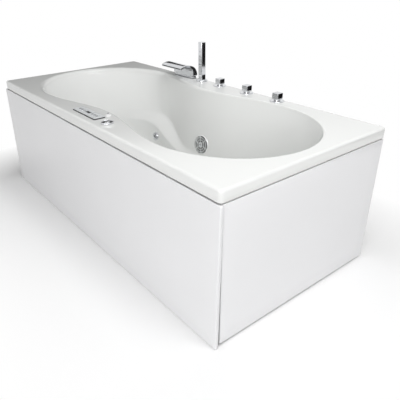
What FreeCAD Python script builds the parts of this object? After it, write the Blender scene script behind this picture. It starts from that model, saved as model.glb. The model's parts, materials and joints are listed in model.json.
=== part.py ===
import FreeCAD, Part
import math
import os

# A family jetted bath: acrylic shell on a steel frame, two apron panels, deck taps and
# jets. +X runs from the backrest to the foot end, -Y is the long panel, and the origin is
# on the floor below the middle of the bath. All sizes are in millimetres.

Vector = FreeCAD.Vector
Rotation = FreeCAD.Rotation
Placement = FreeCAD.Placement

doc = FreeCAD.newDocument("jetted_bathtub")
sheet = doc.addObject("Spreadsheet::Sheet", "size")

sizes = {
    # shell
    "tubLength": 1700,
    "tubWidth": 800,
    "tubHeight": 565,
    "rimPlate": 8,
    "shellWall": 6,
    "lipDepth": 40,
    "rimEdgeRound": 9,
    "rimCornerRound": 14,
    "endRim": 38,             # width of the rim at the two ends
    "lobeRim": 62,            # narrowest part of the long rims
    "waistRim": 128,          # width of the long rims at the waist
    "lobeOffset": 440,        # from the middle to the widest place of each lobe
    "rollRadius": 12,         # rounding where the rim turns down into the basin
    "floorHeight": 135,       # inside of the basin above the ground
    "floorRound": 70,
    "backrestRun": 380,       # how far the backrest leans in
    "footRun": 130,
    "wallLean": 11,           # degrees
    "troughInset": 200,       # from the rim's side to the side of the trough
    "troughLean": 8.5,        # degrees
    "armrestDrop": 220,
    "waistShelfDrop": 320,
    "armrestEnd": 420,
    "waistShelfStart": 80,
    "shelfBand": 34,          # height in which the armrest turns from wall to ledge
    # frame
    "boardThickness": 18,
    "boardHalfWidth": 160,
    "boardBackGap": 450,      # from each end of the bath to the board
    "boardFootGap": 335,
    "railSize": 30,
    "railWall": 2,
    "railInset": 34,          # from the rim's side to the middle of a long rail
    "railEndGap": 75,         # from the back end of the bath to the rails
    "footRailInset": 110,
    "postInset": 150,
    "pumpRailSpacing": 150,
    "footPadRadius": 25,
    "footPadHeight": 12,
    "studRadius": 6,
    "footInset": 200,
    "nutHeight": 10,
    "battenWidth": 26,
    "battenHeight": 18,
    # panels
    "panelWall": 5,
    "panelGap": 5,
    "frontPanelReturn": 8,
    "endPanelReturn": 18,
    "clipGap": 0.3,
    "panelLean": 1.2,         # degrees
    "panelOverhang": 16,
    "panelStandOut": 2,
    "endPanelRaise": 11,
    "endPanelGap": 2,
    "bracketWidth": 40,
    "bracketPlate": 3,
    "screwRadius": 2.5,
    # pump
    "motorRadius": 62,
    "motorLength": 190,
    "voluteRadius": 75,
    "voluteWidth": 56,
    "housingWall": 5,
    "shaftHeight": 78,
    "shaftRadius": 7,
    "impellerRadius": 58,
    "impellerWidth": 24,
    "pumpFromEnd": 150,
    "shaftFit": 0.05,
    "inletStub": 26,
    "outletStub": 14,
    # pipes
    "waterPipeRadius": 16,
    "suctionPipeRadius": 25,
    "airPipeRadius": 8,
    "pipeWall": 3,
    "waterRingInset": 100,
    "waterRingEnd": 45,
    "suctionRunInset": 110,
    # wall fittings
    "jetStation": 322,
    "jetDrop": 302,
    "footJetDrop": 311,
    "footJetSpacing": 220,
    "jetHole": 20,
    "jetFlangeRadius": 23,
    "jetFlange": 4,
    "ballRadius": 13,
    "ballFit": 0.08,
    "nozzleRadius": 8.2,
    "nozzleBore": 5.5,
    "jetBodyRadius": 23,
    "jetBodyDepth": 45,
    "jetTail": 12,
    "airPortRise": 13,        # from the jet body's back to its air port
    "airPortStub": 10,
    "seatDepth": 1.5,
    "padDepth": 9,
    "suctionStation": 30,
    "suctionDrop": 258,
    "suctionHole": 30,
    "suctionGrilleRadius": 48,
    "suctionSeatDepth": 2.4,
    "suctionBodyRadius": 35,
    "suctionBodyDepth": 49,
    "suctionStub": 12,
    # deck fittings
    "tapInset": 36,           # from the back edge of the rim to the taps
    "firstTap": 6,
    "tapSpacing": 184,
    "tapCube": 33,
    "tapCubeHeight": 27,
    "tapNeckRadius": 14,
    "tapNeckHeight": 6,
    "roseRadius": 28,
    "roseHeight": 3,
    "shankRadius": 13,
    "valveDrop": 75,
    "chestRadius": 17,
    "valvePortRise": 6,       # side ports above the foot of the shank
    "valvePortStub": 10,
    "supplyTailRadius": 10.5,
    "supplyTailLength": 17,
    "supplyCollar": 1,        # shoulder of the tail beyond the valve chest
    "supplyCollarRadius": 13.5,
    "spindleRadius": 5,
    "showerStation": 143,
    "showerBaseRadius": 28,
    "showerSquare": 27,
    "showerHeight": 190,
    "showerSocketHeight": 34,
    "showerTailRadius": 9,
    "showerTailLength": 90,
    "spoutStation": 288,
    "spoutWidth": 165,
    "spoutBaseWidth": 144,
    "spoutBaseDepth": 30,
    "spoutReach": 107,
    "spoutHeight": 73,
    "spoutLip": 9,
    "spoutBackGap": 15,       # from the back edge of the rim to the spout
    "gasketThickness": 1.5,
    "knobStation": 155,
    "knobInset": 52,
    "knobRadius": 24,
    "knobHeight": 7,
    "airSpigotDrop": 60,      # from the deck to the end of the air spigot
    "panelLength": 188,
    "panelDepth": 47,
    "panelStation": 12,
    "panelInset": 58.5,
    "panelHeight": 6,
    "keyRadius": 4.5,
    "keyTravel": 0.8,
    "keyPitch": 17,
    "windowLength": 42,
    "windowDepth": 18,
    "trayInset": 8.4,
    "lightStation": 64,
    "lightInset": 106,
    "lightRadius": 12,
    "lightButtonRadius": 7.5,
    "deckFit": 0.3,           # gap round a piece that passes through the deck or a wall
    "slideFit": 0.05,
    # waste
    "wasteInset": 290,
    "wasteRadius": 35,
    "wasteBore": 22,
    "plugRadius": 30,
    "overflowDrop": 95,
    "overflowRadius": 35,
    "wastePipeRadius": 14,
    "trapPipeRadius": 20,
    "trapReach": 60,          # along the low run of the trap
    "trapRise": 38,
    "outletReach": 190,
    "wasteBodyWall": 8,
    "wasteBodyDepth": 52,
    "wasteBranchDrop": 40,
    "wasteBranchStub": 14,
    "overflowDepth": 40,
    # electrics
    "controlBoxLength": 160,
    "controlBoxDepth": 70,
    "controlBoxHeight": 75,
}

for row, (alias, number) in enumerate(sizes.items(), 1):
    sheet.set(f"A{row}", alias)
    sheet.set(f"B{row}", str(number))
    sheet.setAlias(f"B{row}", alias)
doc.recompute()

nodes = []


def value(expression):
    """Number that an expression over the sheet comes to."""
    result = sheet.evalExpression(str(expression))
    return float(getattr(result, "Value", result))


# heights and planes that many pieces share, as expressions over the sheet
deckTop = "size.tubHeight"
deckUnder = "(size.tubHeight - size.rimPlate)"
lipBottom = "(size.tubHeight - size.lipDepth)"
basinFloor = "size.floorHeight"
shellUnder = "(size.floorHeight - size.shellWall)"
railTop = "(size.floorHeight - size.shellWall - size.boardThickness)"
railBottom = f"({railTop} - size.railSize)"
railLine = "(size.tubWidth / 2 - size.railInset)"
halfLength = "(size.tubLength / 2)"
halfWidth = "(size.tubWidth / 2)"
postStation = f"({halfLength} - size.postInset)"
railStart = f"(-{halfLength} + size.railEndGap)"
footRail = f"({halfLength} - size.footRailInset)"
footStation = f"({halfLength} - size.footInset)"
panelTop = f"({lipBottom} - size.panelGap)"
tapLine = f"({halfWidth} - size.tapInset)"

directions = {
    "+X": Rotation(Vector(0, 0, 1), Vector(1, 0, 0)),
    "-X": Rotation(Vector(0, 0, 1), Vector(-1, 0, 0)),
    "+Y": Rotation(Vector(0, 0, 1), Vector(0, 1, 0)),
    "-Y": Rotation(Vector(0, 0, 1), Vector(0, -1, 0)),
    "+Z": Rotation(),
    "-Z": Rotation(Vector(1, 0, 0), 180),
}


def bind(thing, expressions):
    for name, expression in expressions.items():
        thing.setExpression(name, str(expression))
    return thing


def put(thing, spot, frame=None):
    """Bind a piece's place to the sheet, or set it in a local frame."""
    if frame is None:
        bind(thing, {f"Placement.Base.{axis}": e for axis, e in zip("xyz", spot)})
    else:
        local = Placement(Vector(*[value(e) for e in spot]), thing.Placement.Rotation)
        thing.Placement = frame.multiply(local)
    return thing


def box(spot, span, frame=None):
    thing = doc.addObject("Part::Box", "box")
    bind(thing, dict(zip(("Length", "Width", "Height"), span)))
    return put(thing, spot, frame)


def rod(radius, length, spot, towards="+Z", frame=None):
    thing = doc.addObject("Part::Cylinder", "rod")
    thing.Placement = Placement(Vector(), directions[towards])
    bind(thing, {"Radius": radius, "Height": length})
    return put(thing, spot, frame)


def cone(low, high, length, spot, towards="+Z", frame=None):
    thing = doc.addObject("Part::Cone", "cone")
    thing.Placement = Placement(Vector(), directions[towards])
    bind(thing, {"Radius1": low, "Radius2": high, "Height": length})
    return put(thing, spot, frame)


def ball(radius, spot, frame=None):
    thing = doc.addObject("Part::Sphere", "ball")
    bind(thing, {"Radius": radius})
    return put(thing, spot, frame)


def prism(sides, radius, length, spot, frame=None):
    """Hexagon nuts: radius is to the corners."""
    thing = doc.addObject("Part::Prism", "prism")
    thing.Polygon = sides
    bind(thing, {"Circumradius": radius, "Height": length})
    return put(thing, spot, frame)


def fuse(*parts):
    joined = doc.addObject("Part::MultiFuse", "joined")
    joined.Shapes = list(parts)
    joined.Refine = True
    return joined


def cut(base, *tools):
    carved = doc.addObject("Part::Cut", "carved")
    carved.Base = base
    carved.Tool = tools[0] if len(tools) == 1 else fuse(*tools)
    carved.Refine = True
    return carved


def group(*parts):
    together = doc.addObject("Part::Compound", "together")
    together.Links = list(parts)
    return together


def formed(shape):
    """A piece whose shape is worked out here rather than by a feature."""
    thing = doc.addObject("Part::Feature", "formed")
    thing.Shape = shape
    return thing


def keep(name, thing):
    """Name a finished sub-part, which also names its file."""
    thing.Label = name
    nodes.append(thing)
    return thing


def rounded(thing, radius, chooses):
    """Fillet the edges of a feature that the test chooses."""
    doc.recompute()
    fillet = doc.addObject("Part::Fillet", "rounded")
    fillet.Base = thing
    size = value(radius)
    picked = [i for i, edge in enumerate(thing.Shape.Edges, 1) if chooses(edge)]
    fillet.Edges = [(i, size, size) for i in picked]
    return fillet


def upright(edge):
    return abs(edge.tangentAt(edge.FirstParameter).z) > 0.99


def pipe(points, radius, bend):
    """Solid round pipe along straight runs joined by tangent arcs of one bend radius."""
    solids = []
    start = points[0]
    for i in range(1, len(points)):
        corner = points[i]
        into = (corner - points[i - 1]).normalize()
        if i == len(points) - 1:
            solids.append(Part.makeCylinder(radius, (corner - start).Length, start, into))
            break
        out = (points[i + 1] - corner).normalize()
        turn = into.getAngle(out)
        back = bend * math.tan(turn / 2)
        arcStart = corner - into * back
        solids.append(Part.makeCylinder(radius, (arcStart - start).Length, start, into))
        spin = into.cross(out).normalize()
        centre = arcStart + spin.cross(into) * bend
        mouth = Part.Face(Part.Wire(Part.makeCircle(radius, arcStart, into)))
        solids.append(mouth.revolve(centre, spin, math.degrees(turn)))
        start = corner + out * back
    return solids


def pipework(routes, wall):
    """Fuse several pipes and bore them through: each route is points, radius, bend."""
    outside = []
    inside = []
    for points, radius, bend in routes:
        outside += pipe(points, radius, bend)
        inside += pipe(points, radius - wall, bend)
    return outside[0].fuse(outside[1:]).cut(inside).removeSplitter()


# ------------------------------------------------------------------ basin surface
rimZ = value(deckTop)
endHalf = value(f"{halfLength} - size.endRim")
lobeHalf = value(f"{halfWidth} - size.lobeRim")
waistHalf = value(f"{halfWidth} - size.waistRim")
lobeX = value("size.lobeOffset")
roll = value("size.rollRadius")
depth = value("size.tubHeight - size.floorHeight")
floorRound = value("size.floorRound")
wall = value("size.shellWall")
armrestZ = value("size.tubHeight - size.armrestDrop")
shelfZ = value("size.tubHeight - size.waistShelfDrop")


def smooth(ratio):
    ratio = max(0.0, min(1.0, ratio))
    return ratio * ratio * (3 - 2 * ratio)


def rimHalfWidth(station):
    """Half width of the opening: waist in the middle, a lobe on each side of it."""
    blend = (1 - math.cos(math.pi * min(abs(station), lobeX) / lobeX)) / 2
    return waistHalf + (lobeHalf - waistHalf) * blend


def stationAt(turn):
    """Point of the opening after so many quarters from the foot end: (station, side share)."""
    quarter = int(turn) % 4
    share = turn - int(turn)
    if quarter in (1, 3):
        share = 1 - share
    endShare = 0.57
    if share < endShare:
        angle = share / endShare * math.pi / 2
        station = lobeX + (endHalf - lobeX) * math.cos(angle)
        side = math.sin(angle)
    else:
        station = lobeX * (1 - (share - endShare) / (1 - endShare))
        side = 1.0
    return (station if quarter in (0, 3) else -station), (side if quarter < 2 else -side)


def armrestHeight(x):
    start = value("size.waistShelfStart")
    end = value("size.armrestEnd")
    return shelfZ + (armrestZ - shelfZ) * smooth((-x - start) / (end - start))


def basinPoint(turn, z, grow=0.0):
    """Point of the basin wall at a height, or of its outside when grown."""
    station, side = stationAt(turn)
    drop = rimZ - z
    rollIn = math.sqrt(max(roll ** 2 - (roll - drop) ** 2, 0)) if drop < roll else roll
    below = max(drop - roll, 0)
    low = z - (rimZ - depth)
    roundIn = 0.0
    if low < floorRound:
        roundIn = floorRound - math.sqrt(max(floorRound ** 2 - (floorRound - low) ** 2, 0))
    reach = smooth(abs(station) / endHalf)
    inward = rollIn + roundIn - grow
    if station < 0:
        lean = value("size.backrestRun") * (below / (depth - roll)) ** 1.1
        x = station + reach * (lean + inward)
    else:
        lean = value("size.footRun") * below / (depth - roll)
        x = station - reach * (lean + inward)
    taper = 1 - math.tan(math.radians(value("size.wallLean"))) * below / waistHalf
    upper = rimHalfWidth(station) * taper - rollIn
    troughLean = math.tan(math.radians(value("size.troughLean")))
    lower = value(f"{halfWidth} - size.troughInset") - troughLean * (armrestZ - z)
    lower += (upper - lower) * smooth(station / (lobeX * 0.8))
    ledge = smooth((armrestHeight(x) - z) / value("size.shelfBand") + 0.5)
    y = upper + (lower - upper) * ledge - roundIn + grow
    return Vector(x, side * y, z)


def basinRing(z, grow=0.0, lift=0.0, count=48):
    """Closed curve of the wall at height z + lift, laid at height z."""
    points = [basinPoint(4 * i / count, z + lift, grow) for i in range(count)]
    ring = Part.BSplineCurve()
    ring.interpolate(Points=[Vector(p.x, p.y, z) for p in points], PeriodicFlag=True)
    return Part.Wire(ring.toShape())


def basinHeights():
    """Heights of the rings: round the rim, down the wall, past the ledge, round the floor."""
    rollSteps = [rimZ - roll * (1 - math.sin(math.radians(a))) for a in (90, 55, 25, 0)]
    wallTop = rimZ - roll
    wallLow = rimZ - depth + floorRound
    count = 13
    wallSteps = [wallTop + (wallLow - wallTop) * i / count for i in range(1, count + 1)]
    floorSteps = [rimZ - depth + floorRound * (1 - math.cos(math.radians(a)))
                  for a in (65, 40, 20, 0)]
    return rollSteps + wallSteps + floorSteps


def spotOnWall(z, axis, target, first, last):
    """Where the basin wall crosses a plane: the point and the normal into the basin."""
    rising = getattr(basinPoint(last, z), axis) > getattr(basinPoint(first, z), axis)
    for _ in range(40):
        middle = (first + last) / 2
        if (getattr(basinPoint(middle, z), axis) < target) == rising:
            first = middle
        else:
            last = middle
    step = 0.01
    along = basinPoint(middle + step, z) - basinPoint(middle - step, z)
    up = basinPoint(middle, z + 1) - basinPoint(middle, z - 1)
    normal = along.cross(up).normalize()
    point = basinPoint(middle, z)
    if normal.dot(Vector(0, 0, z) - Vector(point.x * 0.5, point.y, z)) < 0:
        normal = normal * -1
    return point, normal


def seatFrame(point, normal, sink):
    """Local frame of a wall fitting: +Z into the basin, +Y up the wall, on its flat seat."""
    across = Vector(0, 0, 1).cross(normal).normalize()
    up = normal.cross(across)
    turn = FreeCAD.Matrix(across.x, up.x, normal.x, 0, across.y, up.y, normal.y, 0,
                          across.z, up.z, normal.z, 0, 0, 0, 0, 1)
    frame = Placement(turn)
    frame.Base = point - normal * sink
    return frame


def localVector(frame, x, y, z):
    return frame.multVec(Vector(x, y, z))


jetHeight = value("size.tubHeight - size.jetDrop")
footJetHeight = value("size.tubHeight - size.footJetDrop")
jetX = -value("size.jetStation")
footJetY = value("size.footJetSpacing / 2")
jetSink = value("size.seatDepth")
jetFrames = [
    seatFrame(*spotOnWall(jetHeight, "x", jetX, 1.02, 1.7), jetSink),
    seatFrame(*spotOnWall(jetHeight, "x", jetX, 2.3, 2.98), jetSink),
    seatFrame(*spotOnWall(footJetHeight, "y", footJetY, 0.0, 0.5), jetSink),
    seatFrame(*spotOnWall(footJetHeight, "y", -footJetY, 3.5, 4.0), jetSink),
]
suctionFrame = seatFrame(
    *spotOnWall(value("size.tubHeight - size.suctionDrop"), "x", value("size.suctionStation"),
                0.6, 1.4), value("size.suctionSeatDepth"))
overflowFrame = seatFrame(
    *spotOnWall(value("size.tubHeight - size.overflowDrop"), "y", 0.0, -0.4, 0.4), jetSink)


# ------------------------------------------------------------------ tub shell
def tubShell():
    heights = basinHeights()
    inside = Part.makeLoft([basinRing(z) for z in heights], True, True, False)
    underDeck = rimZ - wall - 0.001
    outerHeights = [underDeck] + [z - wall for z in heights[3:]]
    outside = Part.makeLoft([basinRing(z, wall, wall) for z in outerHeights], True, True, False)
    length = value("size.tubLength")
    width = value("size.tubWidth")
    lip = value("size.lipDepth")
    plate = value("size.rimPlate")
    block = Part.makeBox(length, width, lip, Vector(-length / 2, -width / 2, rimZ - lip))
    block = block.makeFillet(value("size.rimCornerRound"), [e for e in block.Edges if upright(e)])
    topEdges = [e for e in block.Edges if all(abs(v.Z - rimZ) < 1e-6 for v in e.Vertexes)]
    block = block.makeFillet(value("size.rimEdgeRound"), topEdges)
    hollow = Part.makeBox(length - 2 * wall, width - 2 * wall, lip - plate,
                          Vector(wall - length / 2, wall - width / 2, rimZ - lip))
    # flat pads behind the wall, so that each fitting seats squarely
    pads = []
    holes = []
    fittings = [(frame, value("size.jetBodyRadius + 6"), value("size.jetHole"),
                 value("size.jetFlangeRadius + size.deckFit")) for frame in jetFrames]
    fittings.append((suctionFrame, value("size.suctionGrilleRadius"), value("size.suctionHole"),
                     value("size.suctionGrilleRadius + size.deckFit")))
    fittings.append((overflowFrame, value("size.overflowRadius"), value("size.wasteBore"),
                     value("size.overflowRadius + size.deckFit")))
    padDepth = value("size.padDepth")
    for frame, padRadius, holeRadius, seatRadius in fittings:
        out = frame.Rotation.multVec(Vector(0, 0, -1))
        back = frame.multVec(Vector(0, 0, 1))
        pads.append(Part.makeCylinder(padRadius, padDepth + 1, back, out))
        far = frame.multVec(Vector(0, 0, 20))
        holes.append(Part.makeCylinder(seatRadius, 20, far, out))
        holes.append(Part.makeCylinder(holeRadius, 20 + padDepth + 20, far, out))
    waste = Vector(value(f"{halfLength} - size.wasteInset"), 0, value(shellUnder))
    holes.append(Part.makeCylinder(value("size.wasteBore + 3"), 3 * wall, waste))
    for x, y, radius in deckHoles():
        holes.append(Part.makeCylinder(radius, 4 * plate, Vector(x, y, rimZ - 2 * plate)))
    edge = "(size.trayInset - 0.4)"
    low = Vector(-value(f"size.panelStation + size.panelLength / 2 - {edge}"),
                 -value(f"{halfWidth} - size.panelInset + size.panelDepth / 2 - {edge}"),
                 rimZ - 2 * plate)
    cutOut = Part.makeBox(value(f"size.panelLength - 2 * {edge}"),
                          value(f"size.panelDepth - 2 * {edge}"), 4 * plate, low)
    shell = block.cut(hollow).fuse([outside] + pads)
    return shell.cut([inside, cutOut] + holes)


def deckHoles():
    fit = value("size.deckFit")
    back = value(tapLine)
    found = [(tapX(i), back, value("size.shankRadius") + fit) for i in range(3)]
    found.append((-value("size.showerStation"), back, value("size.shankRadius + 3") + fit))
    spoutY = value(f"{halfWidth} - size.spoutBaseDepth")
    found.append((-value("size.spoutStation"), spoutY, value("size.shankRadius - 3") + fit))
    found.append((value("size.knobStation"), -value(f"{halfWidth} - size.knobInset"),
                  value("size.shankRadius") + fit))
    found.append((value("size.lightStation"), -value(f"{halfWidth} - size.lightInset"),
                  value("size.lightButtonRadius + 1.5") + fit))
    return found


def tapX(i):
    return value(f"-size.firstTap + {i} * size.tapSpacing")


keep("tub_shell", formed(tubShell()))

# ------------------------------------------------------------------ frame under the bath
keep("base_board", box((f"-{halfLength} + size.boardBackGap", "-size.boardHalfWidth", railTop),
                       ("size.tubLength - size.boardBackGap - size.boardFootGap",
                        "2 * size.boardHalfWidth", "size.boardThickness")))

crossStations = [f"{railStart} + size.railSize / 2",
                 f"{railStart} + size.railSize / 2 + size.pumpRailSpacing",
                 f"-{footStation} / 2", "0", f"{footStation} / 2", footRail]


def tube(spot, span):
    """Square steel tube: the longest side is open through."""
    lengths = [value(e) for e in span]
    longest = lengths.index(max(lengths))
    innerSpot = [f"{e} + size.railWall" for e in spot]
    innerSpan = [f"{e} - 2 * size.railWall" for e in span]
    innerSpot[longest] = f"{spot[longest]} - 1"
    innerSpan[longest] = f"{span[longest]} + 2"
    return cut(box(spot, span), box(innerSpot, innerSpan))


def supportFrame():
    members = []
    for side in (-1, 1):
        y = f"{side} * {railLine} - size.railSize / 2"
        members.append(tube((railStart, y, railBottom),
                            (f"{footRail} + size.railSize / 2 - {railStart}",
                             "size.railSize", "size.railSize")))
        for end in (-1, 1):
            x = f"{end} * {postStation} - size.railSize / 2"
            members.append(tube((x, y, railTop), ("size.railSize", "size.railSize",
                                                  f"{deckUnder} - size.battenHeight - {railTop}")))
    inner = f"({railLine} - size.railSize / 2)"
    for station in crossStations:
        members.append(tube((f"{station} - size.railSize / 2", f"-{inner}", railBottom),
                            ("size.railSize", f"2 * {inner}", "size.railSize")))
    return fuse(*members)


keep("support_frame", supportFrame())

footSpots = [("0", "0")] + [(f"{a} * {footStation}", f"{b} * {railLine}")
                            for a in (-1, 1) for b in (-1, 1)]


def levellingFoot(x, y):
    pad = rod("size.footPadRadius", "size.footPadHeight / 2", (x, y, 0))
    hub = cone("size.footPadRadius", "size.studRadius * 2", "size.footPadHeight / 2",
               (x, y, "size.footPadHeight / 2"))
    stud = rod("size.studRadius", f"{railBottom} - size.footPadHeight",
               (x, y, "size.footPadHeight"))
    return fuse(pad, hub, stud)


def nut(x, y, z, bore, height, frame=None):
    body = prism(6, f"({bore}) * 1.5", height, (x, y, z), frame)
    return cut(body, rod(f"{bore} + size.deckFit / 2", f"{height} + 2", (x, y, f"{z} - 1"),
                         frame=frame))


keep("levelling_feet", group(*[levellingFoot(x, y) for x, y in footSpots]))
keep("foot_locknuts", group(*[nut(x, y, f"{railBottom} - size.nutHeight", "size.studRadius",
                                  "size.nutHeight") for x, y in footSpots]))


def rimBattens():
    """Timber strips under the rim: front, foot end, and two at the back clear of the taps."""
    low = f"{deckUnder} - size.battenHeight"
    outer = f"({halfWidth} - size.shellWall)"
    span = f"{halfLength} - size.shellWall - 2"
    front = box((f"-({span})", f"-{outer}", low),
                (f"2 * ({span})", "size.battenWidth", "size.battenHeight"))
    clear = "(size.spoutStation + size.spoutWidth)"
    left = box((f"-({span})", f"{outer} - size.battenWidth", low),
               (f"{span} - {clear}", "size.battenWidth", "size.battenHeight"))
    right = box((clear, f"{outer} - size.battenWidth", low),
                (f"{span} - {clear}", "size.battenWidth", "size.battenHeight"))
    foot = box((f"{halfLength} - size.shellWall - size.battenWidth", f"-{outer} + size.battenWidth + 1",
                low),
               ("size.battenWidth", f"2 * {outer} - 2 * size.battenWidth - 2", "size.battenHeight"))
    return group(front, left, right, foot)


keep("rim_battens", rimBattens())


# ------------------------------------------------------------------ apron panels
def frontPanel():
    """Long panel in its own frame: X along it, Y out of its face, Z up, then leaned out."""
    length = "(size.tubLength + size.panelOverhang + 2)"
    height = f"({panelTop} - 1)"
    back = "(size.frontPanelReturn + size.panelWall)"
    block = box((0, 0, 0), (length, back, height))
    hollow = box(("size.panelWall", "-1", "size.panelWall"),
                 (f"{length} - 2 * size.panelWall", "size.frontPanelReturn + 1",
                  f"{height} - 2 * size.panelWall"))
    panel = cut(block, hollow)
    lean = math.radians(value("size.panelLean"))
    panel.Placement = Placement(Vector(), Rotation(Vector(0, 0, 1), 180)).multiply(
        Placement(Vector(), Rotation(Vector(1, 0, 0), value("size.panelLean"))))
    rise = value(height)
    depthBack = value(back)
    face = value(f"{halfWidth} + size.panelStandOut") - depthBack * math.cos(lean)
    panel.Placement.Base = Vector(value(f"{halfLength} + 2"),
                                  -face - math.sin(lean) * rise,
                                  value(panelTop) - rise * math.cos(lean)
                                  - depthBack * math.sin(lean))
    return panel


keep("front_panel", frontPanel())

endPanelFace = f"({halfLength} - size.endPanelGap)"
endPanelStart = f"(-{halfWidth} + size.endPanelGap + 9)"


def endPanel():
    height = f"({panelTop} - size.endPanelRaise)"
    width = f"({halfWidth} - size.endPanelGap - {endPanelStart})"
    back = "(size.endPanelReturn + size.panelWall)"
    block = box((f"{endPanelFace} - {back}", endPanelStart, "size.endPanelRaise"),
                (back, width, height))
    hollow = box((f"{endPanelFace} - {back} - 1", f"{endPanelStart} + size.panelWall",
                  "size.endPanelRaise + size.panelWall"),
                 ("size.endPanelReturn + 1", f"{width} - 2 * size.panelWall",
                  f"{height} - 2 * size.panelWall"))
    return cut(block, hollow)


keep("end_panel", endPanel())


def hangingClip(x, y, side):
    """Angle clip below a batten, whose leg stands behind a panel's top flange."""
    top = f"({deckUnder} - size.battenHeight)"
    leg = f"({top} - {panelTop} + size.panelWall + 8)"
    plate = "size.bracketPlate"
    wide = "size.bracketWidth"
    deep = "(size.battenWidth / 2 + 4)"
    if side == "front":
        flat = box((f"{x} - {wide} / 2", y, f"{top} - {plate}"), (wide, deep, plate))
        drop = box((f"{x} - {wide} / 2", y, f"{top} - {leg}"), (wide, plate, leg))
    else:
        flat = box((f"{x} - {plate}", f"{y} - {wide} / 2", f"{top} - {plate}"), (deep, wide, plate))
        drop = box((f"{x} - {plate}", f"{y} - {wide} / 2", f"{top} - {leg}"), (plate, wide, leg))
    return fuse(flat, drop)


def lowerClip(x):
    """Spacer angle from the long rail to the inside of the leaned front panel."""
    plate = "size.bracketPlate"
    railFace = f"(-{railLine} - size.railSize / 2)"
    upper = f"({railBottom} + size.railSize / 2)"
    leanOut = f"(({panelTop} - {upper}) * tan(size.panelLean * 1deg))"
    inside = f"(-{halfWidth} - size.panelStandOut - {leanOut} + size.panelWall + size.clipGap)"
    arm = box((f"{x} - size.bracketWidth / 2", inside, f"{upper} - {plate}"),
              ("size.bracketWidth", f"{railFace} - {inside}", plate))
    leg = box((f"{x} - size.bracketWidth / 2", f"{railFace} - {plate}", railBottom),
              ("size.bracketWidth", plate, f"size.railSize / 2"))
    return fuse(arm, leg)


frontClips = [f"{share} * {halfLength}" for share in (-0.72, -0.2, 0.3, 0.7)]
endClips = [f"{share} * {halfWidth}" for share in (-0.6, 0, 0.6)]
frontClipLine = (f"(-{halfWidth} - size.panelStandOut + size.panelWall + size.frontPanelReturn"
                 " + size.clipGap)")
endClipLine = f"({endPanelFace} - size.panelWall - size.endPanelReturn - size.clipGap)"
keep("panel_brackets", group(*[hangingClip(x, frontClipLine, "front") for x in frontClips],
                             *[hangingClip(endClipLine, y, "end") for y in endClips],
                             *[lowerClip(x) for x in frontClips]))


def clipScrews():
    z = f"{deckUnder} - size.battenHeight - size.bracketPlate"
    middle = "(size.battenWidth / 4 + 4)"
    spots = [(x, f"{frontClipLine} + {middle}") for x in frontClips]
    spots += [(f"{endClipLine} + {middle}", y) for y in endClips]
    heads = [rod("size.screwRadius * 2", "size.screwRadius", (x, y, z), "-Z") for x, y in spots]
    return group(*heads)


keep("panel_screws", clipScrews())

# ------------------------------------------------------------------ pump
pumpX = f"(-{halfLength} + size.pumpFromEnd)"
pumpPlateTop = f"({railTop} + size.bracketPlate)"
shaftZ = f"({pumpPlateTop} + size.shaftHeight)"
voluteBack = "(-size.voluteWidth / 2)"
motorFace = f"({voluteBack} - size.housingWall)"
dischargeLift = "(size.voluteRadius - size.waterPipeRadius - size.housingWall - 10)"


def pumpMotor():
    body = rod("size.motorRadius", "size.motorLength", (pumpX, motorFace, shaftZ), "-Y")
    bore = rod("size.motorRadius - size.housingWall", "size.motorLength - 2 * size.housingWall",
               (pumpX, f"{motorFace} - size.housingWall", shaftZ), "-Y")
    shaftHole = rod("size.shaftRadius + size.shaftFit", "3 * size.housingWall",
                    (pumpX, f"{motorFace} + size.housingWall", shaftZ), "-Y")
    fins = []
    for i in range(9):
        y = f"{motorFace} - size.housingWall * 3 - {i} * (size.motorLength - 8 * size.housingWall) / 8"
        fins.append(rod("size.motorRadius + 4", "2.5", (pumpX, y, shaftZ), "-Y"))
    foot = []
    for shift in ("0.2", "0.8"):
        foot.append(box((f"{pumpX} - size.motorRadius * 0.7",
                         f"{motorFace} - size.motorLength * {shift} - 8", pumpPlateTop),
                        ("size.motorRadius * 1.4", "16", "size.shaftHeight - size.motorRadius * 0.72")))
    terminalBox = box((f"{pumpX} - 35", f"{motorFace} - size.motorLength * 0.6 - 35",
                       f"{shaftZ} + size.motorRadius - 6"), ("70", "70", "34"))
    return cut(fuse(body, terminalBox, *fins, *foot), bore, shaftHole)


def pumpVolute():
    r = "size.voluteRadius"
    body = rod(r, "size.voluteWidth", (pumpX, voluteBack, shaftZ), "+Y")
    inlet = rod("size.suctionPipeRadius + 6", "size.inletStub",
                (pumpX, "size.voluteWidth / 2", shaftZ), "+Y")
    outletZ = f"{shaftZ} + {dischargeLift}"
    outlet = rod("size.waterPipeRadius + 6", f"{r} + size.outletStub", (pumpX, 0, outletZ), "+X")
    backPlate = rod("size.motorRadius", "size.housingWall", (pumpX, motorFace, shaftZ), "+Y")
    chamber = rod("size.impellerRadius + 4", "size.voluteWidth - 2 * size.housingWall",
                  (pumpX, f"{voluteBack} + size.housingWall", shaftZ), "+Y")
    eye = rod("size.suctionPipeRadius", "size.voluteWidth", (pumpX, 0, shaftZ), "+Y")
    throat = rod("size.waterPipeRadius - size.pipeWall", f"{r} + 30", (pumpX, 0, outletZ), "+X")
    shaftHole = rod("size.shaftRadius + size.shaftFit", "4 * size.housingWall",
                    (pumpX, f"{motorFace} - size.housingWall", shaftZ), "+Y")
    return cut(fuse(body, inlet, outlet, backPlate), chamber, eye, throat, shaftHole)


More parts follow.
